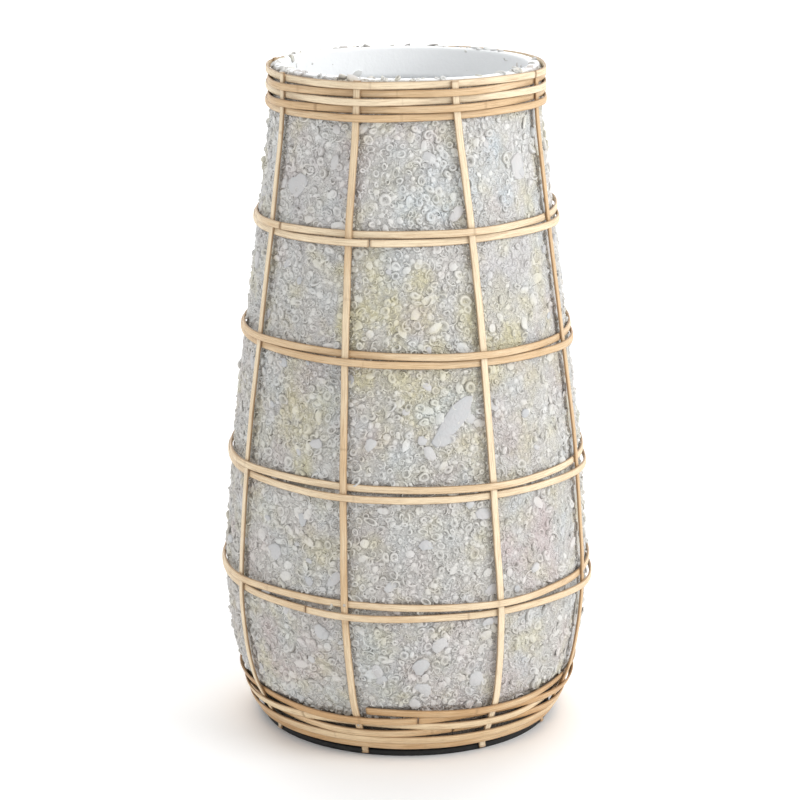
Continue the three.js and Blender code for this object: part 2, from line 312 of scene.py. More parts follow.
def hoops():
    """Every hoop of the cage, with its sizes, its place and which stakes it passes in front of."""
    sizes = bpy.context.scene.vase_rattan
    upper = dict(width=sizes.hoop_width / MM, thickness=sizes.thickness, span=360, bend=BEND)
    foot = dict(width=sizes.foot_hoop_width / MM, thickness=sizes.foot_thickness, tilt=0, bend=FOOT_BEND)
    made = []
    for i, (cut, tilt) in enumerate(zip(RIM_CUTS, RIM_TILT)):
        place = dict(height=RIM_TOP - i * RIM_PITCH, tilt=tilt, cut=cut, infront=EVEN if i % 2 else ODD)
        made.append(dict(name=f"rim_hoop_{i + 1}", sway=0.22, **place, **upper))
    for i, (high, low, tilt, cuts) in enumerate(LEVELS):
        for label, height, cut, infront in (("upper", high, cuts[0], EVEN), ("lower", low, cuts[1], ODD)):
            place = dict(height=height, tilt=tilt, cut=cut, infront=infront)
            made.append(dict(name=f"level_{i + 1}_{label}_hoop", sway=0.35, **place, **upper))
    for i, (cut, infront) in enumerate(zip(FOOT_CUTS, FOOT_FRONTS)):
        span = 360 if i else FOOT_TOP_SPAN
        place = dict(height=FOOT_TOP - i * FOOT_PITCH, cut=cut, span=span, infront=infront)
        made.append(dict(name=f"foot_hoop_{i + 1}", sway=0.25, **place, **foot))
    return made


# ---------------------------------------------------------------- node trees


class Sketch:
    """Short words for adding nodes to a tree and joining them."""

    def __init__(self, tree):
        self.tree = tree

    def add(self, kind, inputs=None, **settings):
        node = self.tree.nodes.new(kind)
        for name, value in settings.items():
            setattr(node, name, value)
        for key, value in (inputs or {}).items():
            self.put(self.socket(node.inputs, key), value)
        return node

    @staticmethod
    def socket(sockets, key):
        if isinstance(key, int):
            return sockets[key]
        named = [s for s in sockets if s.name == key]
        return next((s for s in named if s.enabled), named[0])

    def put(self, socket, value):
        if isinstance(value, bpy.types.Node):
            value = self.out(value)
        if isinstance(value, bpy.types.NodeSocket):
            self.tree.links.new(value, socket)
        else:
            socket.default_value = value

    def out(self, node, key=None):
        if key is None:
            return next(s for s in node.outputs if s.enabled)
        return self.socket(node.outputs, key)

    def maths(self, operation, *values, clamp=False):
        node = self.add("ShaderNodeMath", operation=operation, use_clamp=clamp)
        for i, value in enumerate(values):
            self.put(node.inputs[i], value)
        return node.outputs[0]

    def plus(self, *values, clamp=False):
        return self.maths("ADD", *values, clamp=clamp)

    def minus(self, *values):
        return self.maths("SUBTRACT", *values)

    def times(self, *values):
        return self.maths("MULTIPLY", *values)

    def scaled(self, vector, factor):
        return self.out(self.add("ShaderNodeVectorMath", {0: vector, "Scale": factor}, operation="SCALE"))

    def moved(self, vector, offset):
        return self.out(self.add("ShaderNodeVectorMath", {0: vector, 1: offset}, operation="ADD"))

    def parts(self, vector):
        return self.add("ShaderNodeSeparateXYZ", {0: vector}).outputs

    def combine(self, x=0.0, y=0.0, z=0.0):
        return self.add("ShaderNodeCombineXYZ", {0: x, 1: y, 2: z}).outputs[0]

    def map_range(self, value, low, high, to_low=0.0, to_high=1.0, smooth=False):
        node = self.add("ShaderNodeMapRange", interpolation_type="SMOOTHSTEP" if smooth else "LINEAR")
        for i, item in enumerate((value, low, high, to_low, to_high)):
            self.put(node.inputs[i], item)
        return node.outputs[0]

    def noise(self, vector, scale, detail=3.0, roughness=0.5, distortion=0.0):
        inputs = {"Scale": scale, "Detail": detail, "Roughness": roughness, "Distortion": distortion}
        return self.add("ShaderNodeTexNoise", {"Vector": vector, **inputs}).outputs[0]

    def mix(self, factor, a, b):
        """A blend of two colours, each a socket or three numbers."""
        rgba = [item if isinstance(item, bpy.types.NodeSocket) else (*item, 1.0) for item in (a, b)]
        return self.add("ShaderNodeMix", {0: factor, 6: rgba[0], 7: rgba[1]}, data_type="RGBA").outputs[2]

    def named(self, name, kind="FLOAT"):
        return self.add("GeometryNodeInputNamedAttribute", {"Name": name}, data_type=kind)

    def store(self, geometry, name, value, kind="FLOAT", domain="POINT"):
        inputs = {"Geometry": geometry, "Name": name, "Value": value}
        return self.add("GeometryNodeStoreNamedAttribute", inputs, data_type=kind, domain=domain)

    def random(self, low, high, seed, kind="FLOAT"):
        return self.add("FunctionNodeRandomValue", {"Min": low, "Max": high, "Seed": seed}, data_type=kind)


def geometry_tree(name, inputs):
    """An empty Geometry Nodes tree with a mesh in, a mesh out, a material and the named inputs."""
    tree = bpy.data.node_groups.new(name, "GeometryNodeTree")
    tree.interface.new_socket("Geometry", in_out="INPUT", socket_type="NodeSocketGeometry")
    tree.interface.new_socket("Geometry", in_out="OUTPUT", socket_type="NodeSocketGeometry")
    for label, kind, default in (*inputs, ("Material", "Material", None)):
        socket = tree.interface.new_socket(label, in_out="INPUT", socket_type=f"NodeSocket{kind}")
        if default is not None:
            socket.default_value = default
    sketch = Sketch(tree)
    return sketch, sketch.add("NodeGroupInput").outputs, sketch.add("NodeGroupOutput").inputs[0]


def end_tree(s, given, result, geometry):
    """Realizes what a tree has made, gives it the tree's material and puts it out."""
    real = s.add("GeometryNodeRealizeInstances", {"Geometry": geometry})
    s.put(result, s.add("GeometryNodeSetMaterial", {"Geometry": real, "Material": given["Material"]}))
    return s.tree


def add_nodes(piece, tree, **values):
    """A Geometry Nodes modifier on a piece, with its named inputs filled in."""
    modifier = piece.modifiers.new(tree.name, "NODES")
    modifier.node_group = tree
    for item in tree.interface.items_tree:
        key = item.name.lower().replace(" ", "_")
        if item.in_out == "INPUT" and key in values:
            modifier[item.identifier] = values[key]


def bake(piece):
    """Turns what a piece's modifiers make into its plain mesh."""
    depsgraph = bpy.context.evaluated_depsgraph_get()
    evaluated = piece.evaluated_get(depsgraph)
    mesh = bpy.data.meshes.new_from_object(evaluated, preserve_all_data_layers=True, depsgraph=depsgraph)
    piece.modifiers.clear()
    old = piece.data
    piece.data = mesh
    mesh.name = piece.name
    if not old.users:
        bpy.data.meshes.remove(old)


# ---------------------------------------------------------------- meshes


def link(name, mesh, material=None):
    piece = bpy.data.objects.new(name, mesh)
    bpy.context.scene.collection.objects.link(piece)
    if material:
        mesh.materials.append(material)
    return piece


def settle(piece, slot, *nodes):
    """A finished piece rides on the one body, and stands for its CAD nodes."""
    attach(piece, BODY)
    if nodes:
        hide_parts(*nodes)
    return piece


def signed_volume(points, faces):
    total = 0.0
    for size in (3, 4):
        chosen = np.array([f for f in faces if len(f) == size])
        if len(chosen):
            for a, b in ((1, 2), (2, 3))[: size - 2]:
                total += np.einsum(
                    "ij,ij->i", points[chosen[:, 0]], np.cross(points[chosen[:, a]], points[chosen[:, b]])
                ).sum()
    return total / 6


def turned(name, outline, columns, closed=False):
    """A mesh turned round +Z from (radius, height) points in millimetres. A closed outline joins its
    last point to its first, and any other runs from axis to axis."""
    outline = np.array(outline, float) * MM
    rows = outline if closed else outline[1:-1]
    angles = np.arange(columns) * 2 * math.pi / columns
    x = rows[:, 0, None] * np.sin(angles)
    y = -rows[:, 0, None] * np.cos(angles)
    z = np.repeat(rows[:, 1, None], columns, axis=1)
    points = np.stack([x, y, z], axis=-1).reshape(-1, 3)
    count = len(rows)
    faces = []
    for row in range(count if closed else count - 1):
        low, high = row * columns, (row + 1) % count * columns
        for left in range(columns):
            right = (left + 1) % columns
            faces.append((low + left, low + right, high + right, high + left))
    if not closed:
        first = len(points)
        points = np.vstack([points, [[0, 0, outline[0, 1]], [0, 0, outline[-1, 1]]]])
        last = (count - 1) * columns
        for left in range(columns):
            right = (left + 1) % columns
            faces.append((first, right, left))
            faces.append((first + 1, last + left, last + right))
    if signed_volume(points, faces) < 0:
        faces = [face[::-1] for face in faces]
    mesh = bpy.data.meshes.new(name)
    mesh.from_pydata(points, [], faces)
    mesh.shade_smooth()
    return mesh


def put_attribute(mesh, name, kind, values):
    attribute = mesh.attributes.new(name, kind, "POINT")
    key = "vector" if kind == "FLOAT_VECTOR" else "value"
    attribute.data.foreach_set(key, np.asarray(values, np.float32).ravel())


def azimuth_and_height(points):
    """The azimuths in radians and the heights in millimetres of points in metres."""
    return np.arctan2(points[:, 0], -points[:, 1]), points[:, 2] / MM


def mesh_points(mesh):
    points = np.zeros(len(mesh.vertices) * 3, np.float32)
    mesh.vertices.foreach_get("co", points)
    return points.reshape(-1, 3)


def arc(centre, radius, start, end, steps):
    """Points on an arc in the outline's plane, with angles in degrees."""
    angles = np.radians(np.linspace(start, end, steps + 1))
    return [(centre[0] + radius * math.cos(a), centre[1] + radius * math.sin(a)) for a in angles]


# ---------------------------------------------------------------- materials


def shader(name):
    """A new material, its Principled shader and a sketch of its tree."""
    material = bpy.data.materials.new(name)
    material.use_nodes = True
    tree = material.node_tree
    principled = next(n for n in tree.nodes if n.type == "BSDF_PRINCIPLED")
    return material, principled, Sketch(tree)


def dress(s, principled, tint, roughness, normal):
    """Joins a colour, a roughness and a normal to a material's shader."""
    for name, value in (("Base Color", tint), ("Roughness", roughness), ("Normal", normal)):
        s.put(principled.inputs[name], value)


def grain_group():
    """A shared effect: two sizes of mottling, as a mask and a height."""
    tree = bpy.data.node_groups.get("mottled_grain")
    if tree:
        return tree
    tree = bpy.data.node_groups.new("mottled_grain", "ShaderNodeTree")
    for label, kind in (("Vector", "Vector"), ("Scale", "Float"), ("Contrast", "Float")):
        tree.interface.new_socket(label, in_out="INPUT", socket_type=f"NodeSocket{kind}")
    for label in ("Mask", "Height"):
        tree.interface.new_socket(label, in_out="OUTPUT", socket_type="NodeSocketFloat")
    s = Sketch(tree)
    given = s.add("NodeGroupInput")
    result = s.add("NodeGroupOutput")
    coarse = s.noise(given.outputs["Vector"], given.outputs["Scale"], detail=4)
    fine_scale = s.times(given.outputs["Scale"], 5.3)
    fine = s.noise(given.outputs["Vector"], fine_scale, detail=3, roughness=0.6)
    blended = s.plus(s.times(coarse, 0.65), s.times(fine, 0.35))
    spread = s.times(s.minus(blended, 0.5), given.outputs["Contrast"])
    s.put(result.inputs["Mask"], s.plus(spread, 0.5, clamp=True))
    s.put(result.inputs["Height"], s.plus(s.times(coarse, 0.4), s.times(fine, 0.6)))
    return tree


def grain(s, vector, scale, contrast):
    node = s.add("ShaderNodeGroup", node_tree=grain_group())
    s.put(node.inputs["Vector"], vector)
    node.inputs["Scale"].default_value = scale
    node.inputs["Contrast"].default_value = contrast
    return node.outputs["Mask"], node.outputs["Height"]


def attribute(s, name, output="Fac"):
    return s.add("ShaderNodeAttribute", attribute_name=name).outputs[output]


def bump(s, height, strength, distance, normal=None):
    node = s.add("ShaderNodeBump", {"Strength": strength, "Distance": distance})
    s.put(node.inputs["Height"], height)
    if normal is not None:
        s.put(node.inputs["Normal"], normal)
    return node.outputs["Normal"]


def flake_group():
    """A shared effect: crumbled flakes of two sizes, as a mask of the cracks between them and a normal."""
    tree = bpy.data.node_groups.get("crumbled_flakes")
    if tree:
        return tree
    tree = bpy.data.node_groups.new("crumbled_flakes", "ShaderNodeTree")
    tree.interface.new_socket("Vector", in_out="INPUT", socket_type="NodeSocketVector")
    tree.interface.new_socket("Strength", in_out="INPUT", socket_type="NodeSocketFloat")
    tree.interface.new_socket("Cracks", in_out="OUTPUT", socket_type="NodeSocketFloat")
    tree.interface.new_socket("Normal", in_out="OUTPUT", socket_type="NodeSocketVector")
    s = Sketch(tree)
    given = s.add("NodeGroupInput")
    result = s.add("NodeGroupOutput")
    place = given.outputs["Vector"]
    stir = s.add("ShaderNodeTexNoise", {"Scale": 190.0, "Detail": 2.0})
    s.put(stir.inputs["Vector"], place)
    stirred = s.moved(place, s.scaled(stir.outputs["Color"], 0.0042))
    cracks, heights = [], []
    for scale, reach in ((185.0, 0.13), (330.0, 0.12)):
        edges = s.add("ShaderNodeTexVoronoi", {"Scale": scale}, feature="DISTANCE_TO_EDGE")
        s.put(edges.inputs["Vector"], stirred)
        cracks.append(s.map_range(edges.outputs["Distance"], 0.0, reach, 1.0, 0.0, smooth=True))
        heights.append(s.map_range(edges.outputs["Distance"], 0.0, reach * 2.4, 0.0, 1.0, smooth=True))
    fade = s.map_range(s.noise(place, 60.0, 2), 0.4, 0.62, 0.15, 1.0)
    both = s.maths("MAXIMUM", cracks[0], s.times(cracks[1], 0.6))
    s.put(result.inputs["Cracks"], s.times(both, fade))
    height = s.plus(heights[0], s.times(heights[1], 0.5))
    s.put(result.inputs["Normal"], bump(s, height, given.outputs["Strength"], 0.0012))
    return tree


def flakes(s, vector, strength):
    node = s.add("ShaderNodeGroup", node_tree=flake_group())
    s.put(node.inputs["Vector"], vector)
    s.put(node.inputs["Strength"], strength)
    return node.outputs["Cracks"], node.outputs["Normal"]


def mortar_material(name, shell):
    """Mortar, or the shells in it: grey, stained in places, with painted light towards the rim and painted
    shade in its recesses, cracks and shell mouths and along the cage.
    """
    look = bpy.context.scene.vase_mortar
    material, principled, s = shader(name)
    place = s.add("ShaderNodeTexCoord").outputs["Object"]
    mask, height = grain(s, place, 70.0, 2.2)
    calm = s.map_range(attribute(s, "washed"), 0, 0.8, 0.3 if shell else 1.0, 0.05)
    cracks, relief = flakes(s, place, calm)
    soft, _ = grain(s, place, 34.0, 2.8)
    tint = s.mix(mask, look.colour, look.light_colour)
    # Painted light: the mortar and its shells turn paler towards the rim, as if lit from above.
    tint = s.mix(s.map_range(s.parts(place)[2], 0.38, 0.5, 0.0, 0.34), tint, look.bloom)
    for scale, drift in ((21.0, look.pink), (33.0, look.yellow), (27.0, look.blue)):
        patches = s.noise(s.moved(place, (scale, 0.0, 0.0)), scale, 3)
        tint = s.mix(s.map_range(patches, 0.48, 0.7, 0.0, 0.5), tint, drift)
    stains = s.parts(attribute(s, "stain", "Vector"))
    for stain, stain_colour in zip(stains, (look.yellow, look.blue, look.pink)):
        tint = s.mix(s.times(stain, s.map_range(soft, 0.25, 0.75, 0.25, 0.95)), tint, stain_colour)
    if shell:
        lift = s.map_range(attribute(s, "tone"), 0, 1, 0.0, 0.34)
        tint = s.mix(lift, tint, look.shell_colour)
        # Painted shade in the shells' mouths and round their buried bases, stronger on some shells than
        # others.
        depth = s.times(attribute(s, "hole"), s.map_range(attribute(s, "shade"), 0.1, 0.9, 0.45, 1.0))
        tint = s.mix(depth, tint, look.hole_colour)
    else:
        # Painted shade in the mortar's low places and, below, in its cracks.
        low = s.map_range(attribute(s, "relief"), 0.5, 0.3, 0.0, 0.3)
        # Painted shade along the stakes and hoops and behind the foot hoops.
        low = s.maths("MAXIMUM", low, s.times(attribute(s, "grime"), 0.6))
        tint = s.mix(low, tint, look.recess_colour)
        tint = s.mix(s.times(cracks, 0.4), tint, look.recess_colour)
        tint = s.mix(attribute(s, "washed"), tint, look.wash_colour)
    roughness = s.map_range(height, 0.3, 0.7, 0.8, 0.97)
    dress(s, principled, tint, roughness, bump(s, height, 0.35, 0.0009, relief))
    principled.inputs["Specular IOR Level"].default_value = 0.3
    return material


def chip_material():
    """Flat shell: dull and bluish grey, faintly mottled."""
    look = bpy.context.scene.vase_mortar
    material, principled, s = shader("flat_shell")
    place = s.add("ShaderNodeTexCoord").outputs["Object"]
    mask, height = grain(s, place, 120.0, 1.6)
    _, relief = flakes(s, place, 0.18)
    tint = s.mix(s.times(attribute(s, "tone"), 0.6), look.chip_colour, look.light_colour)
    tint = s.mix(s.times(mask, 0.4), tint, look.pink)
    dress(s, principled, tint, s.map_range(mask, 0, 1, 0.6, 0.8), bump(s, height, 0.4, 0.0008, relief))
    return material


def rattan_material(name, colour_low, colour_high):
    """Split rattan: streaks and blotches along the cane, with dark edges, growth rings and cut ends."""
    look = bpy.context.scene.vase_rattan
    material, principled, s = shader(name)
    along, across = attribute(s, "along"), attribute(s, "across")
    tone, joint = attribute(s, "tone"), attribute(s, "joint")

    def cane_noise(lengthwise, crosswise, detail, roughness):
        place = s.combine(s.times(along, lengthwise), s.times(across, crosswise), s.times(tone, 40.0))
        return s.noise(place, 1.0, detail, roughness)

    streaks = cane_noise(26.0, 3.4, 5, 0.62)
    fibres = cane_noise(60.0, 13.0, 4, 0.6)
    amount = s.plus(s.times(streaks, 0.6), s.times(cane_noise(9.0, 0.0, 2, 0.5), 0.75))
    amount = s.plus(s.minus(amount, 0.12), s.map_range(tone, 0, 1, -0.2, 0.3))
    tint = s.mix(s.map_range(amount, 0.35, 0.8, smooth=True), colour_low, colour_high)
    tint = s.mix(s.map_range(fibres, 0.52, 0.34, 0, 0.62), tint, look.fibre_colour)
    tint = s.mix(s.map_range(cane_noise(34.0, 1.3, 4, 0.65), 0.6, 0.76, 0, 0.55), tint, look.blotch_colour)
    tint = s.mix(s.map_range(s.maths("ABSOLUTE", across), 0.72, 0.96, 0, 0.8), tint, look.fibre_colour)
    tint = s.mix(s.map_range(joint, 0.25, 1.0, 0, 0.7), tint, look.joint_colour)
    tint = s.mix(s.map_range(attribute(s, "to_end"), 0.0006, 0.002, 0.55, 0), tint, look.joint_colour)
    ridges = s.plus(s.times(fibres, 0.7), s.times(joint, -0.5))
    dress(s, principled, tint, s.map_range(fibres, 0.3, 0.7, 0.62, 0.42), bump(s, ridges, 0.5, 0.0005))
    return material


def grainy_material(name, scale, contrast, spread, colours, roughness, relief):
    """A material of one grain, which blends two colours and two roughnesses and sets a fine relief."""
    material, principled, s = shader(name)
    mask, height = grain(s, s.add("ShaderNodeTexCoord").outputs["Object"], scale, contrast)
    tint = s.mix(s.map_range(mask, *spread), *colours)
    dress(s, principled, tint, s.map_range(mask, 0, 1, *roughness), bump(s, height, *relief))
    return material, principled


def pot_material():
    look = bpy.context.scene.vase_mortar
    colours, roughness, relief = (look.wash_colour, look.chip_colour), (0.6, 0.8), (0.25, 0.0015)
    return grainy_material("pale_wash", 26.0, 1.8, (0, 1, 0, 0.4), colours, roughness, relief)[0]


def base_material():
    colours, roughness, relief = ((0.006, 0.006, 0.006), (0.05, 0.047, 0.042)), (0.5, 0.8), (0.3, 0.0006)
    return grainy_material("black_base", 160.0, 3.0, (0.62, 1.0, 0, 0.5), colours, roughness, relief)[0]


def nail_material():
    colours, roughness, relief = ((0.42, 0.37, 0.31), (0.7, 0.66, 0.6)), (0.35, 0.55), (0.2, 0.0002)
    material, principled = grainy_material("dull_nail", 900.0, 2.0, (0, 1, 0, 1), colours, roughness, relief)
    principled.inputs["Metallic"].default_value = 0.9
    return material


# ---------------------------------------------------------------- canes


def cane_tree():
    """Split cane along a line: flat on the side to the mortar, crowned outside, with raised growth rings."""
    name = "split_cane"
    if name in bpy.data.node_groups:
        return bpy.data.node_groups[name]
    inputs = (
        ("Width", "Float", 0.0062),
        ("Thickness", "Float", 0.0026),
        ("Sides", "Int", 16),
        ("Swell", "Float", 0.07),
        ("Fibre Depth", "Float", 0.0001),
    )
    s, given, result = geometry_tree(name, inputs)
    curve = s.add("GeometryNodeMeshToCurve", {0: given["Geometry"]})
    length = s.add("GeometryNodeSplineParameter").outputs["Length"]
    total = s.add("GeometryNodeSplineLength").outputs["Length"]
    stored = s.store(curve, "along", length)
    stored = s.store(stored, "to_end", s.maths("MINIMUM", length, s.minus(total, length)))
    facing = {"Curve": stored, "Normal": s.named("away", "FLOAT_VECTOR")}
    rail = s.add("GeometryNodeSetCurveNormal", facing, mode="FREE")
    swollen = s.plus(1.0, s.times(s.named("joint"), given["Swell"]))
    rail = s.add("GeometryNodeSetCurveRadius", {"Curve": rail, "Radius": swollen})

    ring = {"Resolution": given["Sides"], "Radius": 1.0}
    circle = s.add("GeometryNodeCurvePrimitiveCircle", ring, mode="RADIUS")
    spot = s.parts(s.add("GeometryNodeInputPosition"))
    profile = s.store(circle, "across", spot[1])
    crown = s.times(s.maths("POWER", s.maths("ABSOLUTE", spot[0]), 0.6), s.maths("SIGN", spot[0]))
    depth = s.times(s.times(crown, 0.5), given["Thickness"])
    side = s.times(spot[1], s.times(given["Width"], 0.5))
    flattened = {"Geometry": profile, "Position": s.combine(depth, side, 0.0)}
    section = s.add("GeometryNodeSetPosition", flattened)
    cane = s.add("GeometryNodeCurveToMesh", {"Curve": rail, "Profile Curve": section, "Fill Caps": True})

    rates = (("along", 55.0), ("across", 4.0), ("tone", 30.0))
    place = s.combine(*(s.times(s.named(label), rate) for label, rate in rates))
    rough = s.times(s.minus(s.noise(place, 1.0, 3, 0.6), 0.5), given["Fibre Depth"])
    push = s.scaled(s.add("GeometryNodeInputNormal"), rough)
    worn = s.add("GeometryNodeSetPosition", {"Geometry": cane, "Offset": push})
    return end_tree(s, given, result, s.add("GeometryNodeSetShadeSmooth", {"Geometry": worn}))


def sway(positions, amount, seed):
    """Slow sideways wander along a cane, in millimetres."""
    draw = random.Random(seed)
    rates = (0.02, 0.055, 0.13)
    waves = [(draw.uniform(0.7, 1.3) * rate, draw.uniform(0, 6.28), 1 / rate**0.5) for rate in rates]
    total = sum(weight for _, _, weight in waves)
    return amount * sum(weight * np.sin(positions * rate + phase) for rate, phase, weight in waves) / total


def joint_strength(positions, places):
    """How strongly each point of a cane belongs to a growth ring, with positions in millimetres."""
    strength = np.zeros_like(positions)
    for place, amount in places:
        strength = np.maximum(strength, amount * np.exp(-(((positions - place) / 1.9) ** 2)))
    return strength


def random_joints(total, seed):
    draw = random.Random(seed)
    places, at = [], draw.uniform(40, 260)
    while at < total:
        places.append((at, draw.uniform(0.35, 0.8)))
        at += draw.uniform(210, 330)
    return places


def cane_piece(name, points, away, positions, places, seed, **size):
    """One cane: its line as edges, which the cane tree gives a body to."""
    mesh = bpy.data.meshes.new(f"{name}_cane")
    mesh.from_pydata(points, [(i, i + 1) for i in range(len(points) - 1)], [])
    put_attribute(mesh, "away", "FLOAT_VECTOR", away)
    put_attribute(mesh, "joint", "FLOAT", joint_strength(positions, places))
    put_attribute(mesh, "tone", "FLOAT", np.full(len(points), random.Random(seed).random()))
    piece = link(f"{name}_cane", mesh)
    add_nodes(piece, cane_tree(), **size)
    bake(piece)
    return settle(piece, "rattan", name)


def make_hoop(hoop, seed, material):
    radius = float(mortar_radius(hoop["height"])) + BEHIND
    butt = math.degrees(CANE_BUTT / radius)
    start, end = hoop["cut"] + butt / 2, hoop["cut"] + hoop["span"] - butt / 2
    azimuth = np.linspace(start, end, 430)
    positions = np.radians(azimuth - start) * radius
    z = hoop_height(hoop, np.radians(azimuth)) + sway(positions, hoop["sway"], seed)
    distance = hoop_distance(hoop, azimuth) + sway(positions, 0.12, seed + 500)
    points = stand_off(np.radians(azimuth), z, distance)
    away = outward(np.radians(azimuth), z)
    marked = MARKED_JOINTS.get(hoop["name"], ())
    places = [(math.radians((at - start) % 360) * radius, amount) for at, amount in marked]
    places += random_joints(positions[-1], seed)
    size = dict(width=hoop["width"] * MM, thickness=hoop["thickness"], material=material)
    return cane_piece(hoop["name"], points, away, positions, places, seed, **size)


def make_stake(index, material):
    sizes = bpy.context.scene.vase_rattan
    z = np.linspace(STAKE_FOOT, STAKE_TOP, 330)
    seed = 900 + index
    azimuth = np.radians(stake_azimuth(index, z))
    azimuth = azimuth + sway(z, 0.45, seed) / mortar_radius(z)
    distance = stake_distance(z) + sway(z, 0.1, seed + 500)
    points = stand_off(azimuth, z, distance)
    name = f"stake_{index + 1}"
    places = list(MARKED_JOINTS.get(name, ())) + random_joints(HEIGHT, seed)
    size = dict(width=sizes.stake_width, thickness=sizes.thickness, material=material)
    return cane_piece(name, points, outward(azimuth, z), z, places, seed, **size)


def nail_tree():
    """A nail at every point, driven in along the point's own direction."""
    s, given, result = geometry_tree("driven_nails", (("Nail", "Object", None),))
    points = s.add("GeometryNodeMeshToPoints", {"Mesh": given["Geometry"]})
    seat = s.add("FunctionNodeAlignRotationToVector", {"Vector": s.named("away", "FLOAT_VECTOR")}, axis="Z")
    nail = s.add("GeometryNodeObjectInfo", {"Object": given["Nail"]}, transform_space="ORIGINAL")
    nails = {"Points": points, "Instance": s.out(nail, "Geometry"), "Rotation": seat}
    return end_tree(s, given, result, s.add("GeometryNodeInstanceOnPoints", nails))


# ---------------------------------------------------------------- mortar and shells


def lump_tree():
    """Lumps on the mortar's face, pushed along its normals, with the relief kept for the shader."""
    inputs = (
        ("Lump Height", "Float", 0.0011),
        ("Lump Scale", "Float", 120.0),
        ("Swell Height", "Float", 0.0012),
        ("Swell Scale", "Float", 26.0),
    )
    s, given, result = geometry_tree("mortar_lumps", inputs)
    place = s.add("GeometryNodeInputPosition")
    lumps = s.noise(place, given["Lump Scale"], 3, 0.55, 0.6)
    swell = s.noise(place, given["Swell Scale"], 2, 0.5)
    lumps_push = s.times(s.minus(lumps, 0.5), given["Lump Height"])
    push = s.plus(lumps_push, s.times(s.minus(swell, 0.5), given["Swell Height"]))
    offset = s.scaled(s.add("GeometryNodeInputNormal"), s.times(s.times(push, 2.0), s.named("face")))
    kept = s.store(given["Geometry"], "relief", lumps)
    return end_tree(s, given, result, s.add("GeometryNodeSetPosition", {"Geometry": kept, "Offset": offset}))


def scatter_tree():
    """Copies of the shapes in a collection, set on a surface between two heights."""
    inputs = (
        ("Surface", "Object", None),
        ("Shapes", "Collection", None),
        ("Spacing", "Float", 0.006),
        ("Density", "Float", 8000.0),
        ("Low", "Float", 0.0),
        ("High", "Float", 1.0),
        ("Smallest", "Float", 0.6),
        ("Largest", "Float", 1.3),
        ("Tilt", "Float", 0.3),
        ("Sink", "Float", 0.0),
        ("Seed", "Int", 1),
    )
    s, given, result = geometry_tree("scatter_on_mortar", inputs)

    def seed(offset):
        return s.plus(given["Seed"], offset)

    surface = s.add("GeometryNodeObjectInfo", {"Object": given["Surface"]}, transform_space="ORIGINAL")
    spread = {
        "Mesh": s.out(surface, "Geometry"),
        "Distance Min": given["Spacing"],
        "Density Max": given["Density"],
        "Density Factor": s.named("bare"),
        "Seed": given["Seed"],
    }
    scattered = s.add("GeometryNodeDistributePointsOnFaces", spread, distribute_method="POISSON")
    height = s.parts(s.add("GeometryNodeInputPosition"))[2]
    beyond = [
        s.add("FunctionNodeCompare", {0: height, 1: given[limit]}, data_type="FLOAT", operation=operation)
        for limit, operation in (("Low", "LESS_THAN"), ("High", "GREATER_EQUAL"))
    ]
    outside = s.add("FunctionNodeBooleanMath", {0: beyond[0], 1: beyond[1]}, operation="OR")
    seated = s.store(s.out(scattered, "Points"), "seat", s.out(scattered, "Rotation"), "QUATERNION")
    points = s.add("GeometryNodeDeleteGeometry", {"Geometry": seated, "Selection": outside}, domain="POINT")

    tilt, back = given["Tilt"], s.times(given["Tilt"], -1.0)
    least, most = s.combine(back, back, 0.0), s.combine(tilt, tilt, 2 * math.pi)
    spin = s.add("FunctionNodeEulerToRotation", {0: s.random(least, most, given["Seed"], "FLOAT_VECTOR")})
    turns = {"Rotation": s.named("seat", "QUATERNION"), "Rotate By": spin}
    rotation = s.add("FunctionNodeRotateRotation", turns, rotation_space="LOCAL")
    even = s.random(given["Smallest"], given["Largest"], seed(11.0))
    uneven = s.random((0.65, 0.8, 0.7), (1.2, 1.35, 1.25), seed(12.0), "FLOAT_VECTOR")
    family = {"Collection": given["Shapes"], "Separate Children": True, "Reset Children": True}
    copies = {
        "Points": points,
        "Instance": s.add("GeometryNodeCollectionInfo", family),
        "Pick Instance": True,
        "Instance Index": s.random(0, 63, seed(13.0), "INT"),
        "Rotation": rotation,
        "Scale": s.scaled(s.out(uneven), s.out(even)),
    }
    drop = s.combine(0.0, 0.0, s.times(given["Sink"], -1.0))
    sunk = {"Instances": s.add("GeometryNodeInstanceOnPoints", copies), "Translation": drop}
    placed = s.add("GeometryNodeTranslateInstances", sunk)
    for label, offset in (("tone", 14.0), ("shade", 15.0)):
        placed = s.store(placed, label, s.random(0.0, 1.0, seed(offset)), domain="INSTANCE")
    real = s.add("GeometryNodeRealizeInstances", {"Geometry": placed})
    coloured = s.add("GeometryNodeSetMaterial", {"Geometry": real, "Material": given["Material"]})
    joined = s.add("GeometryNodeJoinGeometry", {0: given["Geometry"]})
    s.put(joined.inputs[0], s.add("GeometryNodeSetShadeSmooth", {"Geometry": coloured}))
    s.put(result, joined)
    return s.tree


def shape_collection(name, makers, count, seed):
    """A collection of small template shapes, none of them in the scene."""
    collection = bpy.data.collections.new(name)
    for i in range(count):
        points, faces, hole_shades = makers(random.Random(seed + i))
        mesh = bpy.data.meshes.new(f"{name}_{i}")
        mesh.from_pydata([Vector(p) * MM for p in points], [], faces)
        # How much painted shade each point of a shape takes.
        put_attribute(mesh, "hole", "FLOAT", hole_shades)
        collection.objects.link(bpy.data.objects.new(f"{name}_{i}", mesh))
    return collection


def wobbly(draw, count, amount):
    """Radius factors round an uneven ring."""
    phases = [(draw.uniform(0, 6.28), draw.uniform(0.3, 1.0)) for _ in range(3)]
    angles = np.arange(count) * 2 * math.pi / count
    factors = 1 + amount * sum(w * np.cos((k + 2) * angles + p) / (k + 1) for k, (p, w) in enumerate(phases))
    return angles, factors


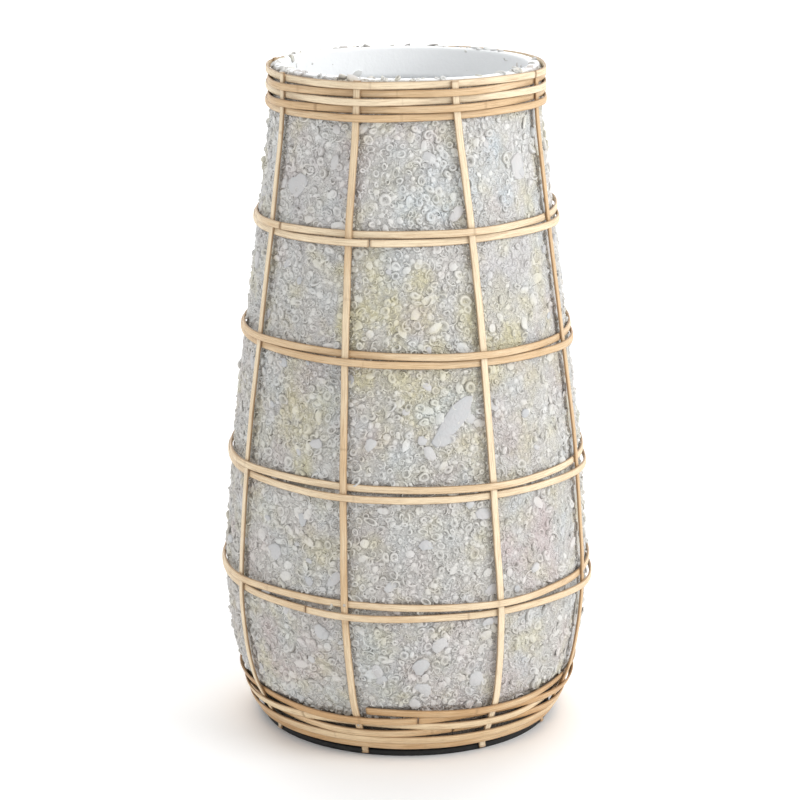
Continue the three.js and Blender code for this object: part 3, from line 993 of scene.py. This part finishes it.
def ring_faces(first, count):
    """Faces between two rings of points that follow each other."""
    ring = np.arange(count)
    ahead = (ring + 1) % count
    return (np.stack([ring, ahead, ahead + count, ring + count], axis=-1) + first).tolist()


def fan_faces(first, count, tip):
    """Faces from a ring of points to one tip."""
    return [(first + i, first + (i + 1) % count, tip) for i in range(count)]


def stacked(rows, count, close_top):
    """Points and faces of rings stacked up, from (radius list, height list) rows, with a top point."""
    points, faces = [], []
    for radii, heights, angles in rows:
        points += [(r * math.cos(a), r * math.sin(a), h) for r, h, a in zip(radii, heights, angles)]
    for row in range(len(rows) - 1):
        faces += ring_faces(row * count, count)
    points.append(close_top)
    return points, faces + fan_faces((len(rows) - 1) * count, count, len(points) - 1)


def level_rows(levels, radius, factor, angles):
    """Level rings, from (share of the radius, height) pairs."""
    return [([radius * share * f for f in factor], [h] * len(angles), angles) for share, h in levels]


def cut_shell(draw):
    """A cut snail shell lying on its side: an uneven ring, with shade painted into its mouth and round its
    buried base.
    """
    count = 10
    angles, factor = wobbly(draw, count, 0.19)
    wall = draw.uniform(0.85, 1.5)
    radius = draw.uniform(1.4, 3.0)
    top = draw.uniform(1.1, 2.1)
    lean = draw.uniform(0, 6.28)
    crest = [top * (0.9 + 0.45 * math.cos(a - lean)) for a in angles]
    levels = (
        (radius + wall, [-1.0] * count),
        (radius + wall * 0.6, [c * 0.75 for c in crest]),
        (radius - wall * 0.1, crest),
        (radius - wall * 0.9, [0.3] * count),
    )
    rows = [([r * f for f in factor], h, angles) for r, h in levels]
    points, faces = stacked(rows, count, (0, 0, -0.4))
    # Painted shade: full at the buried base and at the mouth's bottom, less on the inner wall, none on the
    # crest.
    hole_shades = [1.0] * count + [0.12] * count + [0.0] * count + [0.4] * count + [1.0]
    return points, faces, hole_shades


def nodule(draw):
    """A rounded lump of mortar or a small whole shell."""
    count = 8
    angles, factor = wobbly(draw, count, 0.26)
    radius = draw.uniform(1.5, 2.7)
    top = draw.uniform(0.9, 1.9)
    rows = level_rows(((1.05, -0.9), (0.95, top * 0.3), (0.7, top * 0.75)), radius, factor, angles)
    points, faces = stacked(rows, count, (draw.uniform(-0.3, 0.3), draw.uniform(-0.3, 0.3), top))
    # Painted shade round the lump's buried base.
    return points, faces, [0.9] * count + [0.15] * count + [0.0] * (count + 1)


def grit(draw):
    """A grain of sand or crumb of shell."""
    count = 6
    angles, factor = wobbly(draw, count, 0.22)
    radius = draw.uniform(0.6, 1.05)
    rows = level_rows(((1.0, -0.6), (0.85, 0.35)), radius, factor, angles)
    points, faces = stacked(rows, count, (0.1, 0, draw.uniform(0.55, 0.9)))
    return points, faces, [0.0] * len(points)


def broken_shell(draw):
    """Part of a shell's lip: a curved ridge."""
    steps, sides = 7, 4
    radius = draw.uniform(2.2, 4.4)
    sweep = draw.uniform(1.5, 3.9)
    wall = draw.uniform(0.5, 0.8)
    top = draw.uniform(0.9, 1.7)
    points, faces = [], []
    for i in range(steps):
        t = i / (steps - 1)
        angle = sweep * (t - 0.5)
        taper = 0.35 + 0.65 * math.sin(math.pi * min(max(t, 0.06), 0.94))
        reach = radius * (1 + 0.12 * math.sin(3 * t + wall * 9))
        for k in range(sides):
            round_angle = math.pi * k / (sides - 1)
            r = reach + wall * taper * math.cos(round_angle) - radius
            h = top * taper * math.sin(round_angle) if 0 < k < sides - 1 else -0.8
            points.append(((r + radius) * math.cos(angle) - radius, (r + radius) * math.sin(angle), h))
    for i in range(steps - 1):
        for k in range(sides):
            n = (k + 1) % sides
            faces.append((i * sides + k, i * sides + n, (i + 1) * sides + n, (i + 1) * sides + k))
    faces.append(tuple(range(sides))[::-1])
    faces.append(tuple((steps - 1) * sides + k for k in range(sides)))
    faces = [face[::-1] for face in faces]
    return points, faces, [0.0] * len(points)


def flat_chip(draw):
    """A flat piece of a larger shell."""
    count = draw.choice((7, 8, 9))
    angles, factor = wobbly(draw, count, 0.26)
    length = draw.uniform(1.0, 1.7)
    radius = draw.uniform(2.6, 4.6)
    rows = level_rows(((1.0, -0.9), (1.0, 0.35), (0.9, 0.6)), radius, factor, angles)
    points, faces = stacked(rows, count, (0, 0, 0.65))
    points = [(x * length, y, z) for x, y, z in points]
    return points, faces, [0.0] * len(points)


def layer_sizes(spacing, density, smallest, largest, tilt, sink):
    return dict(spacing=spacing, density=density, smallest=smallest, largest=largest, tilt=tilt, sink=sink)


# The template shapes, with how many of each are made.
SHAPES = ((cut_shell, 10), (broken_shell, 10), (nodule, 6), (grit, 5), (flat_chip, 8))

# What is set into the mortar, in the order it is laid: its piece, its shape, its finish and its sizes.
LAYERS = (
    ("cut_shells", cut_shell, "cut_shell", layer_sizes(0.0061, 32000.0, 0.5, 1.35, 0.34, 0.0)),
    ("cut_shells", broken_shell, "cut_shell", layer_sizes(0.005, 20000.0, 0.6, 1.35, 0.3, 0.0)),
    ("mortar_crumbs", nodule, "lump", layer_sizes(0.0045, 26000.0, 0.5, 1.3, 0.3, 0.0003)),
    ("mortar_crumbs", grit, "lump", layer_sizes(0.0025, 22000.0, 0.6, 1.5, 0.3, 0.0)),
    ("mortar_crumbs", flat_chip, "flat_shell", layer_sizes(0.012, 520.0, 0.55, 1.35, 0.1, -0.0008)),
    ("mortar_crumbs", flat_chip, "lump", layer_sizes(0.009, 4500.0, 0.4, 1.1, 0.3, -0.0007)),
)


def stain_values(points):
    """How yellow, blue and pink the mortar is at each point."""
    azimuth, z = azimuth_and_height(points)
    azimuth = np.degrees(azimuth)
    values = np.zeros((len(points), 3))
    ragged = 0.35 * np.sin(azimuth * 0.41 + z * 0.05) + 0.3 * np.sin(azimuth * 0.17 - z * 0.11 + 1.3)
    for place, height, wide, tall, amounts in STAINS:
        radius = mortar_radius(np.clip(z, 6, HEIGHT))
        across = np.radians(turn_between(azimuth, place)) * radius / (wide * 2.2)
        reach = across**2 + ((z - height) / tall) ** 2 + ragged
        values = np.maximum(values, np.clip(1.15 - reach, 0, 1)[:, None] * np.array(amounts))
    return values


def from_hoop(hoop, azimuth, z):
    """Heights above or below a hoop, in millimetres, and far where the hoop doesn't reach."""
    away = np.abs(z - hoop_height(hoop, azimuth))
    return np.where((np.degrees(azimuth) - hoop["cut"]) % 360 <= hoop["span"], away, 99)


def close_hoop(hoop, azimuth):
    """1 where a hoop lies close to the mortar, and 0 where there is room for shells under it."""
    return 1 - smooth_step(hoop_distance(hoop, np.degrees(azimuth)), 3.2, 4.2)


def bare_values(points):
    """Where shells show: none at the foot or where a hoop lies close, and fewer on the sparse side."""
    azimuth, z = azimuth_and_height(points)
    thinned, restored, share = SPARSE
    degrees = np.degrees(azimuth)
    bare = 1 - share * smooth_step(degrees, *thinned) * (1 - smooth_step(degrees, *restored))
    for hoop in hoops():
        under = 1 - smooth_step(from_hoop(hoop, azimuth, z), hoop["width"] * 0.4, hoop["width"] * 0.56)
        bare = np.minimum(bare, 1 - under * close_hoop(hoop, azimuth))
    return bare * smooth_step(z, *FOOT_SHELLS)


def grime_values(points):
    """Painted shade in the mortar along the stakes and hoops, and behind the foot hoops, where the cage
    shades it.
    """
    azimuth, z = azimuth_and_height(points)
    grime = np.zeros(len(points))
    for index in range(len(STAKES)):
        turn = np.abs(turn_between(np.degrees(azimuth), stake_azimuth(index, z)))
        from_stake = np.radians(turn) * mortar_radius(z)
        grime = np.maximum(grime, 0.8 * (1 - smooth_step(from_stake, 2.5, 5.5)))
    for hoop in hoops():
        under = 1 - smooth_step(from_hoop(hoop, azimuth, z), 3.0, 5.0)
        grime = np.maximum(grime, under * (0.3 + 0.7 * close_hoop(hoop, azimuth)))
    # Painted shade behind the foot hoops, darkest below them.
    return np.maximum(grime, 1.6 * (1 - smooth_step(z, *FOOT_SHADE)))


def coat_outline():
    """The coat's closed outline, and how many of its points are on the face that shows."""
    foot, rim = COAT_FOOT, HEIGHT
    outer = inset_face(np.linspace(foot, rim - 4, 200), SHELL_DEPTH)
    rim_outer = float(mortar_radius(rim)) - SHELL_DEPTH
    lip_inner = rim_outer + SHELL_DEPTH - MORTAR_THICKNESS - 2 * GAP - POT_WALL - LIP_THICKNESS
    rim_arc = arc((rim_outer - 4, rim - 4), 4, 12, 90, 4)
    rim_flat = [(float(r), rim) for r in np.linspace(rim_outer - 5.5, lip_inner + 3.5, 3)]
    lip_arc = arc((lip_inner + 2, rim - 2), 2, 100, 180, 3)
    lip = [(lip_inner, rim - d) for d in np.linspace(4, LIP_DEPTH - 1, 6)]
    shown = outer + rim_arc + rim_flat + lip_arc + lip
    lip_outer = lip_inner + LIP_THICKNESS
    back_top = rim - MORTAR_THICKNESS
    back = [(lip_outer, rim - LIP_DEPTH), (lip_outer, back_top)]
    back += inset_face(np.linspace(back_top, foot, 14), MORTAR_THICKNESS)
    return shown + back, len(shown)


# ---------------------------------------------------------------- settings


def colour_property(name, description, default):
    return bpy.props.FloatVectorProperty(
        name=name, description=description, default=default, subtype="COLOR", size=3, min=0.0, max=1.0
    )


def length_property(name, description, default):
    return bpy.props.FloatProperty(
        name=name, description=description, default=default, subtype="DISTANCE", unit="LENGTH", min=0.0
    )


def number_property(name, description, default, subtype="NONE"):
    return bpy.props.FloatProperty(name=name, description=description, default=default, subtype=subtype)


class VaseRattanSettings(bpy.types.PropertyGroup):
    """Sizes and colours of the cage."""

    hoop_width: length_property("Hoop width", "Width of a rim or level hoop", 0.0066)
    foot_hoop_width: length_property("Foot hoop width", "Width of a foot hoop", 0.0083)
    stake_width: length_property("Stake width", "Width of an upright stake", 0.0067)
    thickness: length_property("Thickness", "Thickness of a stake or an upper hoop", 0.0026)
    foot_thickness: length_property("Foot thickness", "Thickness of a foot hoop", 0.0021)
    low_colour: colour_property("Honey", "Darker streaks of the cane", (0.67, 0.465, 0.26))
    high_colour: colour_property("Straw", "Lighter streaks of the cane", (0.88, 0.735, 0.52))
    foot_low_colour: colour_property("Foot honey", "Darker streaks of the foot hoops", (0.6, 0.37, 0.175))
    foot_high_colour: colour_property("Foot straw", "Lighter streaks of the foot hoops", (0.85, 0.67, 0.43))
    fibre_colour: colour_property("Fibre", "Thin dark fibres and edges", (0.27, 0.145, 0.06))
    blotch_colour: colour_property("Blotch", "Reddish brown blotches of the cane", (0.5, 0.27, 0.14))
    joint_colour: colour_property("Growth ring", "Growth rings and cut ends", (0.25, 0.13, 0.055))


class VaseMortarSettings(bpy.types.PropertyGroup):
    """Sizes and colours of the mortar and its shells."""

    lump_height: length_property("Lump height", "Height of the mortar's lumps", 0.0011)
    seed: bpy.props.IntProperty(name="Seed", description="Seed of the shells' places", default=7)
    colour: colour_property("Mortar", "Darker mottling of the mortar", (0.575, 0.56, 0.53))
    light_colour: colour_property("Light mortar", "Lighter mottling of the mortar", (0.68, 0.67, 0.645))
    # Painted shade, not the mortar's own colour: it darkens the recesses, the cracks, the cage's edges and
    # the mortar behind the foot hoops.
    recess_colour: colour_property("Recess", "Colour in the mortar's recesses", (0.25, 0.225, 0.2))
    shell_colour: colour_property("Shell", "Colour of the cut shells", (0.79, 0.78, 0.75))
    # Painted shade, not the shells' own colour.
    hole_colour: colour_property("Shell mouth", "Colour inside the cut shells", (0.15, 0.135, 0.115))
    chip_colour: colour_property("Flat shell", "Colour of the flat shells", (0.47, 0.5, 0.515))
    # Painted light, not a bloom on the mortar: paler towards the rim, as if lit from above.
    bloom: colour_property("Bloom", "Chalky bloom of the mortar towards the rim", (0.83, 0.84, 0.83))
    wash_colour: colour_property("Pot wash", "Colour of the pot's inner wall", (0.95, 0.965, 0.975))
    yellow: colour_property("Yellow stain", "Colour of the yellow stains", (0.67, 0.62, 0.4))
    blue: colour_property("Blue stain", "Colour of the bluish stains", (0.62, 0.67, 0.7))
    pink: colour_property("Pink stain", "Colour of the pinkish stains", (0.62, 0.53, 0.52))


CAMERA_TILT = math.radians(14.615)


class VaseStageSettings(bpy.types.PropertyGroup):
    """The camera and the light."""

    camera_distance: length_property("Camera distance", "From the vase's axis to the camera", 2.342)
    camera_height: length_property("Camera height", "Height of the camera above the floor", 0.903)
    camera_tilt: number_property("Camera tilt", "How far the camera looks down", CAMERA_TILT, "ANGLE")
    lens: number_property("Lens", "Focal length for a 36 mm sensor", 119.8)
    key_power: number_property("Key power", "Power of the key light", 49.0, "POWER")
    fill_power: number_property("Fill power", "Power of the fill light", 6.5, "POWER")
    sky: number_property("Sky", "Strength of the white surround", 0.78)


# ---------------------------------------------------------------- operators


class VASE_OT_pot(bpy.types.Operator):
    """Make the pot, with its smooth pale inner wall"""

    bl_idname = "vase.pot"
    bl_label = "Pot"

    def execute(self, context):
        rim = HEIGHT - MORTAR_THICKNESS - GAP
        floor = COAT_FOOT + POT_FLOOR
        inset = MORTAR_THICKNESS + GAP + POT_WALL
        inner = inset_face(np.linspace(floor + 6, rim, 60), inset)
        outer = [(x + POT_WALL, z) for x, z in inset_face(np.linspace(rim, COAT_FOOT, 60), inset)]
        corner = arc((inner[0][0] - 6, floor + 6), 6, 270, 345, 5)
        outline = [(0, floor), (60, floor), *corner, *inner, *outer, (60, COAT_FOOT), (0, COAT_FOOT)]
        mesh = turned("pot", outline, 160)
        points = mesh_points(mesh)
        azimuth, z = azimuth_and_height(points)
        uneven = 1 + 0.0022 * np.sin(3 * azimuth + z * 0.009) + 0.0015 * np.sin(5 * azimuth - z * 0.021)
        inside = np.hypot(points[:, 0], points[:, 1]) < (mortar_radius(z) - inset + 2) * MM
        points[:, :2] *= np.where(inside, uneven, 1)[:, None]
        mesh.vertices.foreach_set("co", points.ravel())
        settle(link("pot", mesh, pot_material()), "pot", "pot")
        return {"FINISHED"}


class VASE_OT_base(bpy.types.Operator):
    """Make the black base plate"""

    bl_idname = "vase.base"
    bl_label = "Base plate"

    def execute(self, context):
        r, t, e = BASE_RADIUS, BASE_THICKNESS, 0.8
        outline = [(0, t), (r * 0.5, t), (r - 2 * e, t)]
        outline += arc((r - e, t - e), e, 90, 0, 4) + arc((r - e, e), e, 0, -90, 4)
        outline += [(r - 2 * e, 0), (r * 0.5, 0), (0, 0)]
        piece = link("base_plate", turned("base_plate", outline, 180), base_material())
        settle(piece, "base_black", "base_plate")
        return {"FINISHED"}


class VASE_OT_mortar(bpy.types.Operator):
    """Make the mortar coat, lumpy on every side that shows"""

    bl_idname = "vase.mortar"
    bl_label = "Mortar coat"

    def execute(self, context):
        columns = 400
        outline, shown = coat_outline()
        mesh = turned("mortar_face", outline, columns, closed=True)
        points = mesh_points(mesh)
        face = np.zeros(len(points))
        face[: shown * columns] = 1
        face[:columns] = 0
        bare = bare_values(points) * face
        depth = mortar_radius(points[:, 2] / MM) - np.hypot(points[:, 0], points[:, 1]) / MM
        washed = smooth_step(depth, 1.2, 4.0) * face
        bare = bare * (1 - 0.6 * washed) * (1 - 0.9 * smooth_step(depth, 7, 9.5))
        put_attribute(mesh, "face", "FLOAT", face * (1 - 0.75 * washed))
        put_attribute(mesh, "washed", "FLOAT", washed)
        # Painted shade along the cage and behind the foot hoops.
        put_attribute(mesh, "grime", "FLOAT", grime_values(points) * face * (1 - washed))
        put_attribute(mesh, "bare", "FLOAT", bare)
        put_attribute(mesh, "stain", "FLOAT_VECTOR", stain_values(points))
        piece = link("mortar_face", mesh)
        lumps = dict(lump_height=context.scene.vase_mortar.lump_height)
        add_nodes(piece, lump_tree(), material=mortar_material("mortar", shell=False), **lumps)
        bake(piece)
        piece.data.shade_smooth()
        settle(piece, "shell_mortar", "shell_mortar_coat")
        return {"FINISHED"}


class VASE_OT_shells(bpy.types.Operator):
    """Set cut shells, lumps, grit and flat chips into the mortar, course by course"""

    bl_idname = "vase.shells"
    bl_label = "Shells"

    def execute(self, context):
        seed = context.scene.vase_mortar.seed
        surface = bpy.data.objects["mortar_face"]
        finishes = {name: mortar_material(name, shell=True) for name in ("cut_shell", "lump")}
        finishes["flat_shell"] = chip_material()
        shapes = {}
        for i, (maker, count) in enumerate(SHAPES):
            shapes[maker] = shape_collection(maker.__name__, maker, count, seed + 20 * i)
        tree = scatter_tree()
        for kind in ("cut_shells", "mortar_crumbs"):
            for course, (low, high) in enumerate(zip(COURSES, COURSES[1:])):
                name = f"{kind}_{course + 1}"
                piece = link(name, bpy.data.meshes.new(name))
                for i, (owner, shape, finish, sizes) in enumerate(LAYERS):
                    if owner == kind:
                        place = dict(surface=surface, low=low * MM, high=high * MM, seed=seed + i)
                        look = dict(shapes=shapes[shape], material=finishes[finish])
                        add_nodes(piece, tree, **place, **look, **sizes)
                bake(piece)
                settle(piece, "shell_mortar")
        for collection in shapes.values():
            for template in list(collection.objects):
                bpy.data.meshes.remove(template.data)
            bpy.data.collections.remove(collection)
        return {"FINISHED"}


class VASE_OT_flakes(bpy.types.Operator):
    """Press the large flat flakes into the mortar, curved with its face"""

    bl_idname = "vase.flakes"
    bl_label = "Large flakes"

    def execute(self, context):
        points, faces, tones = [], [], []
        for seed, (azimuth, height, width, length, lean) in enumerate(FLAKES):
            draw = random.Random(seed + 70)
            count, first = 11, len(points)
            angles, factor = wobbly(draw, count, 0.3)
            factor = factor * np.array([draw.uniform(0.86, 1.1) for _ in range(count)])
            lean = math.radians(lean)
            for share, rise in ((1.0, -1.2), (1.0, 0.8), (0.93, 1.05), (0.0, 1.15)):
                along = length / 2 * share * factor * np.cos(angles)
                aside = width / 2 * share * factor * np.sin(angles)
                right = along * math.cos(lean) - aside * math.sin(lean)
                up = along * math.sin(lean) + aside * math.cos(lean)
                z = height + up
                turn = math.radians(azimuth) + right / mortar_radius(z)
                ring = stand_off(turn, z, np.full(count, rise))
                points += list(ring if share else ring[:1])
            faces += ring_faces(first, count) + ring_faces(first + count, count)
            faces += fan_faces(first + 2 * count, count, first + 3 * count)
            tones += [draw.uniform(0.1, 0.9)] * (3 * count + 1)
        mesh = bpy.data.meshes.new("large_flakes")
        mesh.from_pydata(points, [], faces)
        put_attribute(mesh, "tone", "FLOAT", tones)
        mesh.shade_smooth()
        settle(link("large_flakes", mesh, chip_material()), "shell_mortar")
        return {"FINISHED"}


class VASE_OT_stakes(bpy.types.Operator):
    """Stand the eight stakes of the cage"""

    bl_idname = "vase.stakes"
    bl_label = "Stakes"

    def execute(self, context):
        look = context.scene.vase_rattan
        material = rattan_material("stake_rattan", look.low_colour, look.high_colour)
        for index in range(len(STAKES)):
            make_stake(index, material)
        return {"FINISHED"}


class VASE_OT_hoops(bpy.types.Operator):
    """Weave the hoops of the rim, the four levels and the foot"""

    bl_idname = "vase.hoops"
    bl_label = "Hoops"

    def execute(self, context):
        look = context.scene.vase_rattan
        upper = rattan_material("hoop_rattan", look.low_colour, look.high_colour)
        foot = rattan_material("foot_rattan", look.foot_low_colour, look.foot_high_colour)
        for seed, hoop in enumerate(hoops()):
            make_hoop(hoop, seed, foot if hoop["name"].startswith("foot") else upper)
        return {"FINISHED"}


class VASE_OT_nails(bpy.types.Operator):
    """Drive the small nails that hold the odd stakes"""

    bl_idname = "vase.nails"
    bl_label = "Nails"

    def execute(self, context):
        head = [(0, 0.75), *arc((0, -1.3), 2.05, 78, 46, 3), (1.45, 0.0)]
        shank = [(0.62, -0.05), (0.6, -12), (0, -14)]
        by_name = {hoop["name"]: hoop for hoop in hoops()}
        names, places, away = [], [], []
        for hoop_name, label in NAILED:
            hoop = by_name[hoop_name]
            for index in range(ODD, len(STAKES), 2):
                azimuth = np.radians(stake_azimuth(index, hoop["height"]))
                z = hoop_height(hoop, azimuth)
                names.append(f"{label}_nail_{index + 1}")
                places.append(stand_off(azimuth, z, UPRIGHT + NAIL_STAND))
                away.append(outward(azimuth, z))
        mesh = bpy.data.meshes.new("cage_nails")
        mesh.from_pydata(places, [], [])
        put_attribute(mesh, "away", "FLOAT_VECTOR", away)
        piece = link("cage_nails", mesh)
        template = bpy.data.objects.new("nail", turned("nail", head + shank, 16))
        add_nodes(piece, nail_tree(), nail=template, material=nail_material())
        bake(piece)
        bpy.data.meshes.remove(template.data)
        settle(piece, "nail_steel", *names)
        return {"FINISHED"}


class VASE_OT_stage(bpy.types.Operator):
    """Set up the floor, the soft light and the camera"""

    bl_idname = "vase.stage"
    bl_label = "Stage"

    def execute(self, context):
        scene = context.scene
        look = scene.vase_stage
        floor = bpy.data.meshes.new("floor")
        size = 12.0
        corners = [(-size, -size, 0), (size, -size, 0), (size, size, 0), (-size, size, 0)]
        floor.from_pydata(corners, [], [(0, 1, 2, 3)])
        material, principled, _ = shader("pale_floor")
        principled.inputs["Base Color"].default_value = (0.97, 0.97, 0.97, 1)
        principled.inputs["Roughness"].default_value = 0.9
        link("floor", floor, material)

        world = bpy.data.worlds.new("studio")
        world.use_nodes = True
        background = world.node_tree.nodes["Background"]
        background.inputs["Color"].default_value = (1, 1, 1, 1)
        background.inputs["Strength"].default_value = look.sky
        scene.world = world

        for name, power, size, place in (
            ("key", look.key_power, 1.8, (2.5, -1.1, 1.7)),
            ("fill", look.fill_power, 2.0, (-2.2, -1.5, 1.6)),
            ("back", look.key_power * 7, 8.0, (0.0, 5.0, 4.5)),
        ):
            light = bpy.data.lights.new(name, "AREA")
            light.energy, light.size = power, size
            lamp = bpy.data.objects.new(name, light)
            lamp.location = place
            lamp.rotation_euler = (Vector((0, 0, 0.3)) - Vector(place)).to_track_quat("-Z", "Y").to_euler()
            scene.collection.objects.link(lamp)

        camera = bpy.data.cameras.new("camera")
        camera.lens, camera.sensor_width = look.lens, 36.0
        camera.shift_x = -0.0081
        eye = bpy.data.objects.new("camera", camera)
        eye.location = (0, -look.camera_distance, look.camera_height)
        eye.rotation_euler = (math.pi / 2 - look.camera_tilt, 0, 0)
        scene.collection.objects.link(eye)
        scene.camera = eye
        scene.view_settings.view_transform = "Standard"
        return {"FINISHED"}


class VASE_PT_panel(bpy.types.Panel):
    """Buttons that make the vase, piece by piece"""

    bl_label = "Floor vase"
    bl_idname = "VASE_PT_panel"
    bl_space_type = "VIEW_3D"
    bl_region_type = "UI"
    bl_category = "Vase"

    def draw(self, context):
        for group in (context.scene.vase_rattan, context.scene.vase_mortar, context.scene.vase_stage):
            box = self.layout.box()
            for key in group.__annotations__:
                box.prop(group, key)
        for operator in OPERATORS:
            self.layout.operator(operator.bl_idname)


OPERATORS = (
    VASE_OT_stage,
    VASE_OT_pot,
    VASE_OT_base,
    VASE_OT_mortar,
    VASE_OT_shells,
    VASE_OT_flakes,
    VASE_OT_stakes,
    VASE_OT_hoops,
    VASE_OT_nails,
)
SETTINGS = {
    "vase_rattan": VaseRattanSettings,
    "vase_mortar": VaseMortarSettings,
    "vase_stage": VaseStageSettings,
}


def register():
    for settings in SETTINGS.values():
        bpy.utils.register_class(settings)
    for name, settings in SETTINGS.items():
        setattr(bpy.types.Scene, name, bpy.props.PointerProperty(type=settings))
    for operator in OPERATORS:
        bpy.utils.register_class(operator)
    bpy.utils.register_class(VASE_PT_panel)


def unregister():
    bpy.utils.unregister_class(VASE_PT_panel)
    for operator in reversed(OPERATORS):
        bpy.utils.unregister_class(operator)
    for name, settings in SETTINGS.items():
        delattr(bpy.types.Scene, name)
        bpy.utils.unregister_class(settings)


def main():
    """Builds the whole vase."""
    register()
    for operator in OPERATORS:
        group, action = operator.bl_idname.split(".")
        getattr(getattr(bpy.ops, group), action)()


if __name__ == "__main__":
    main()
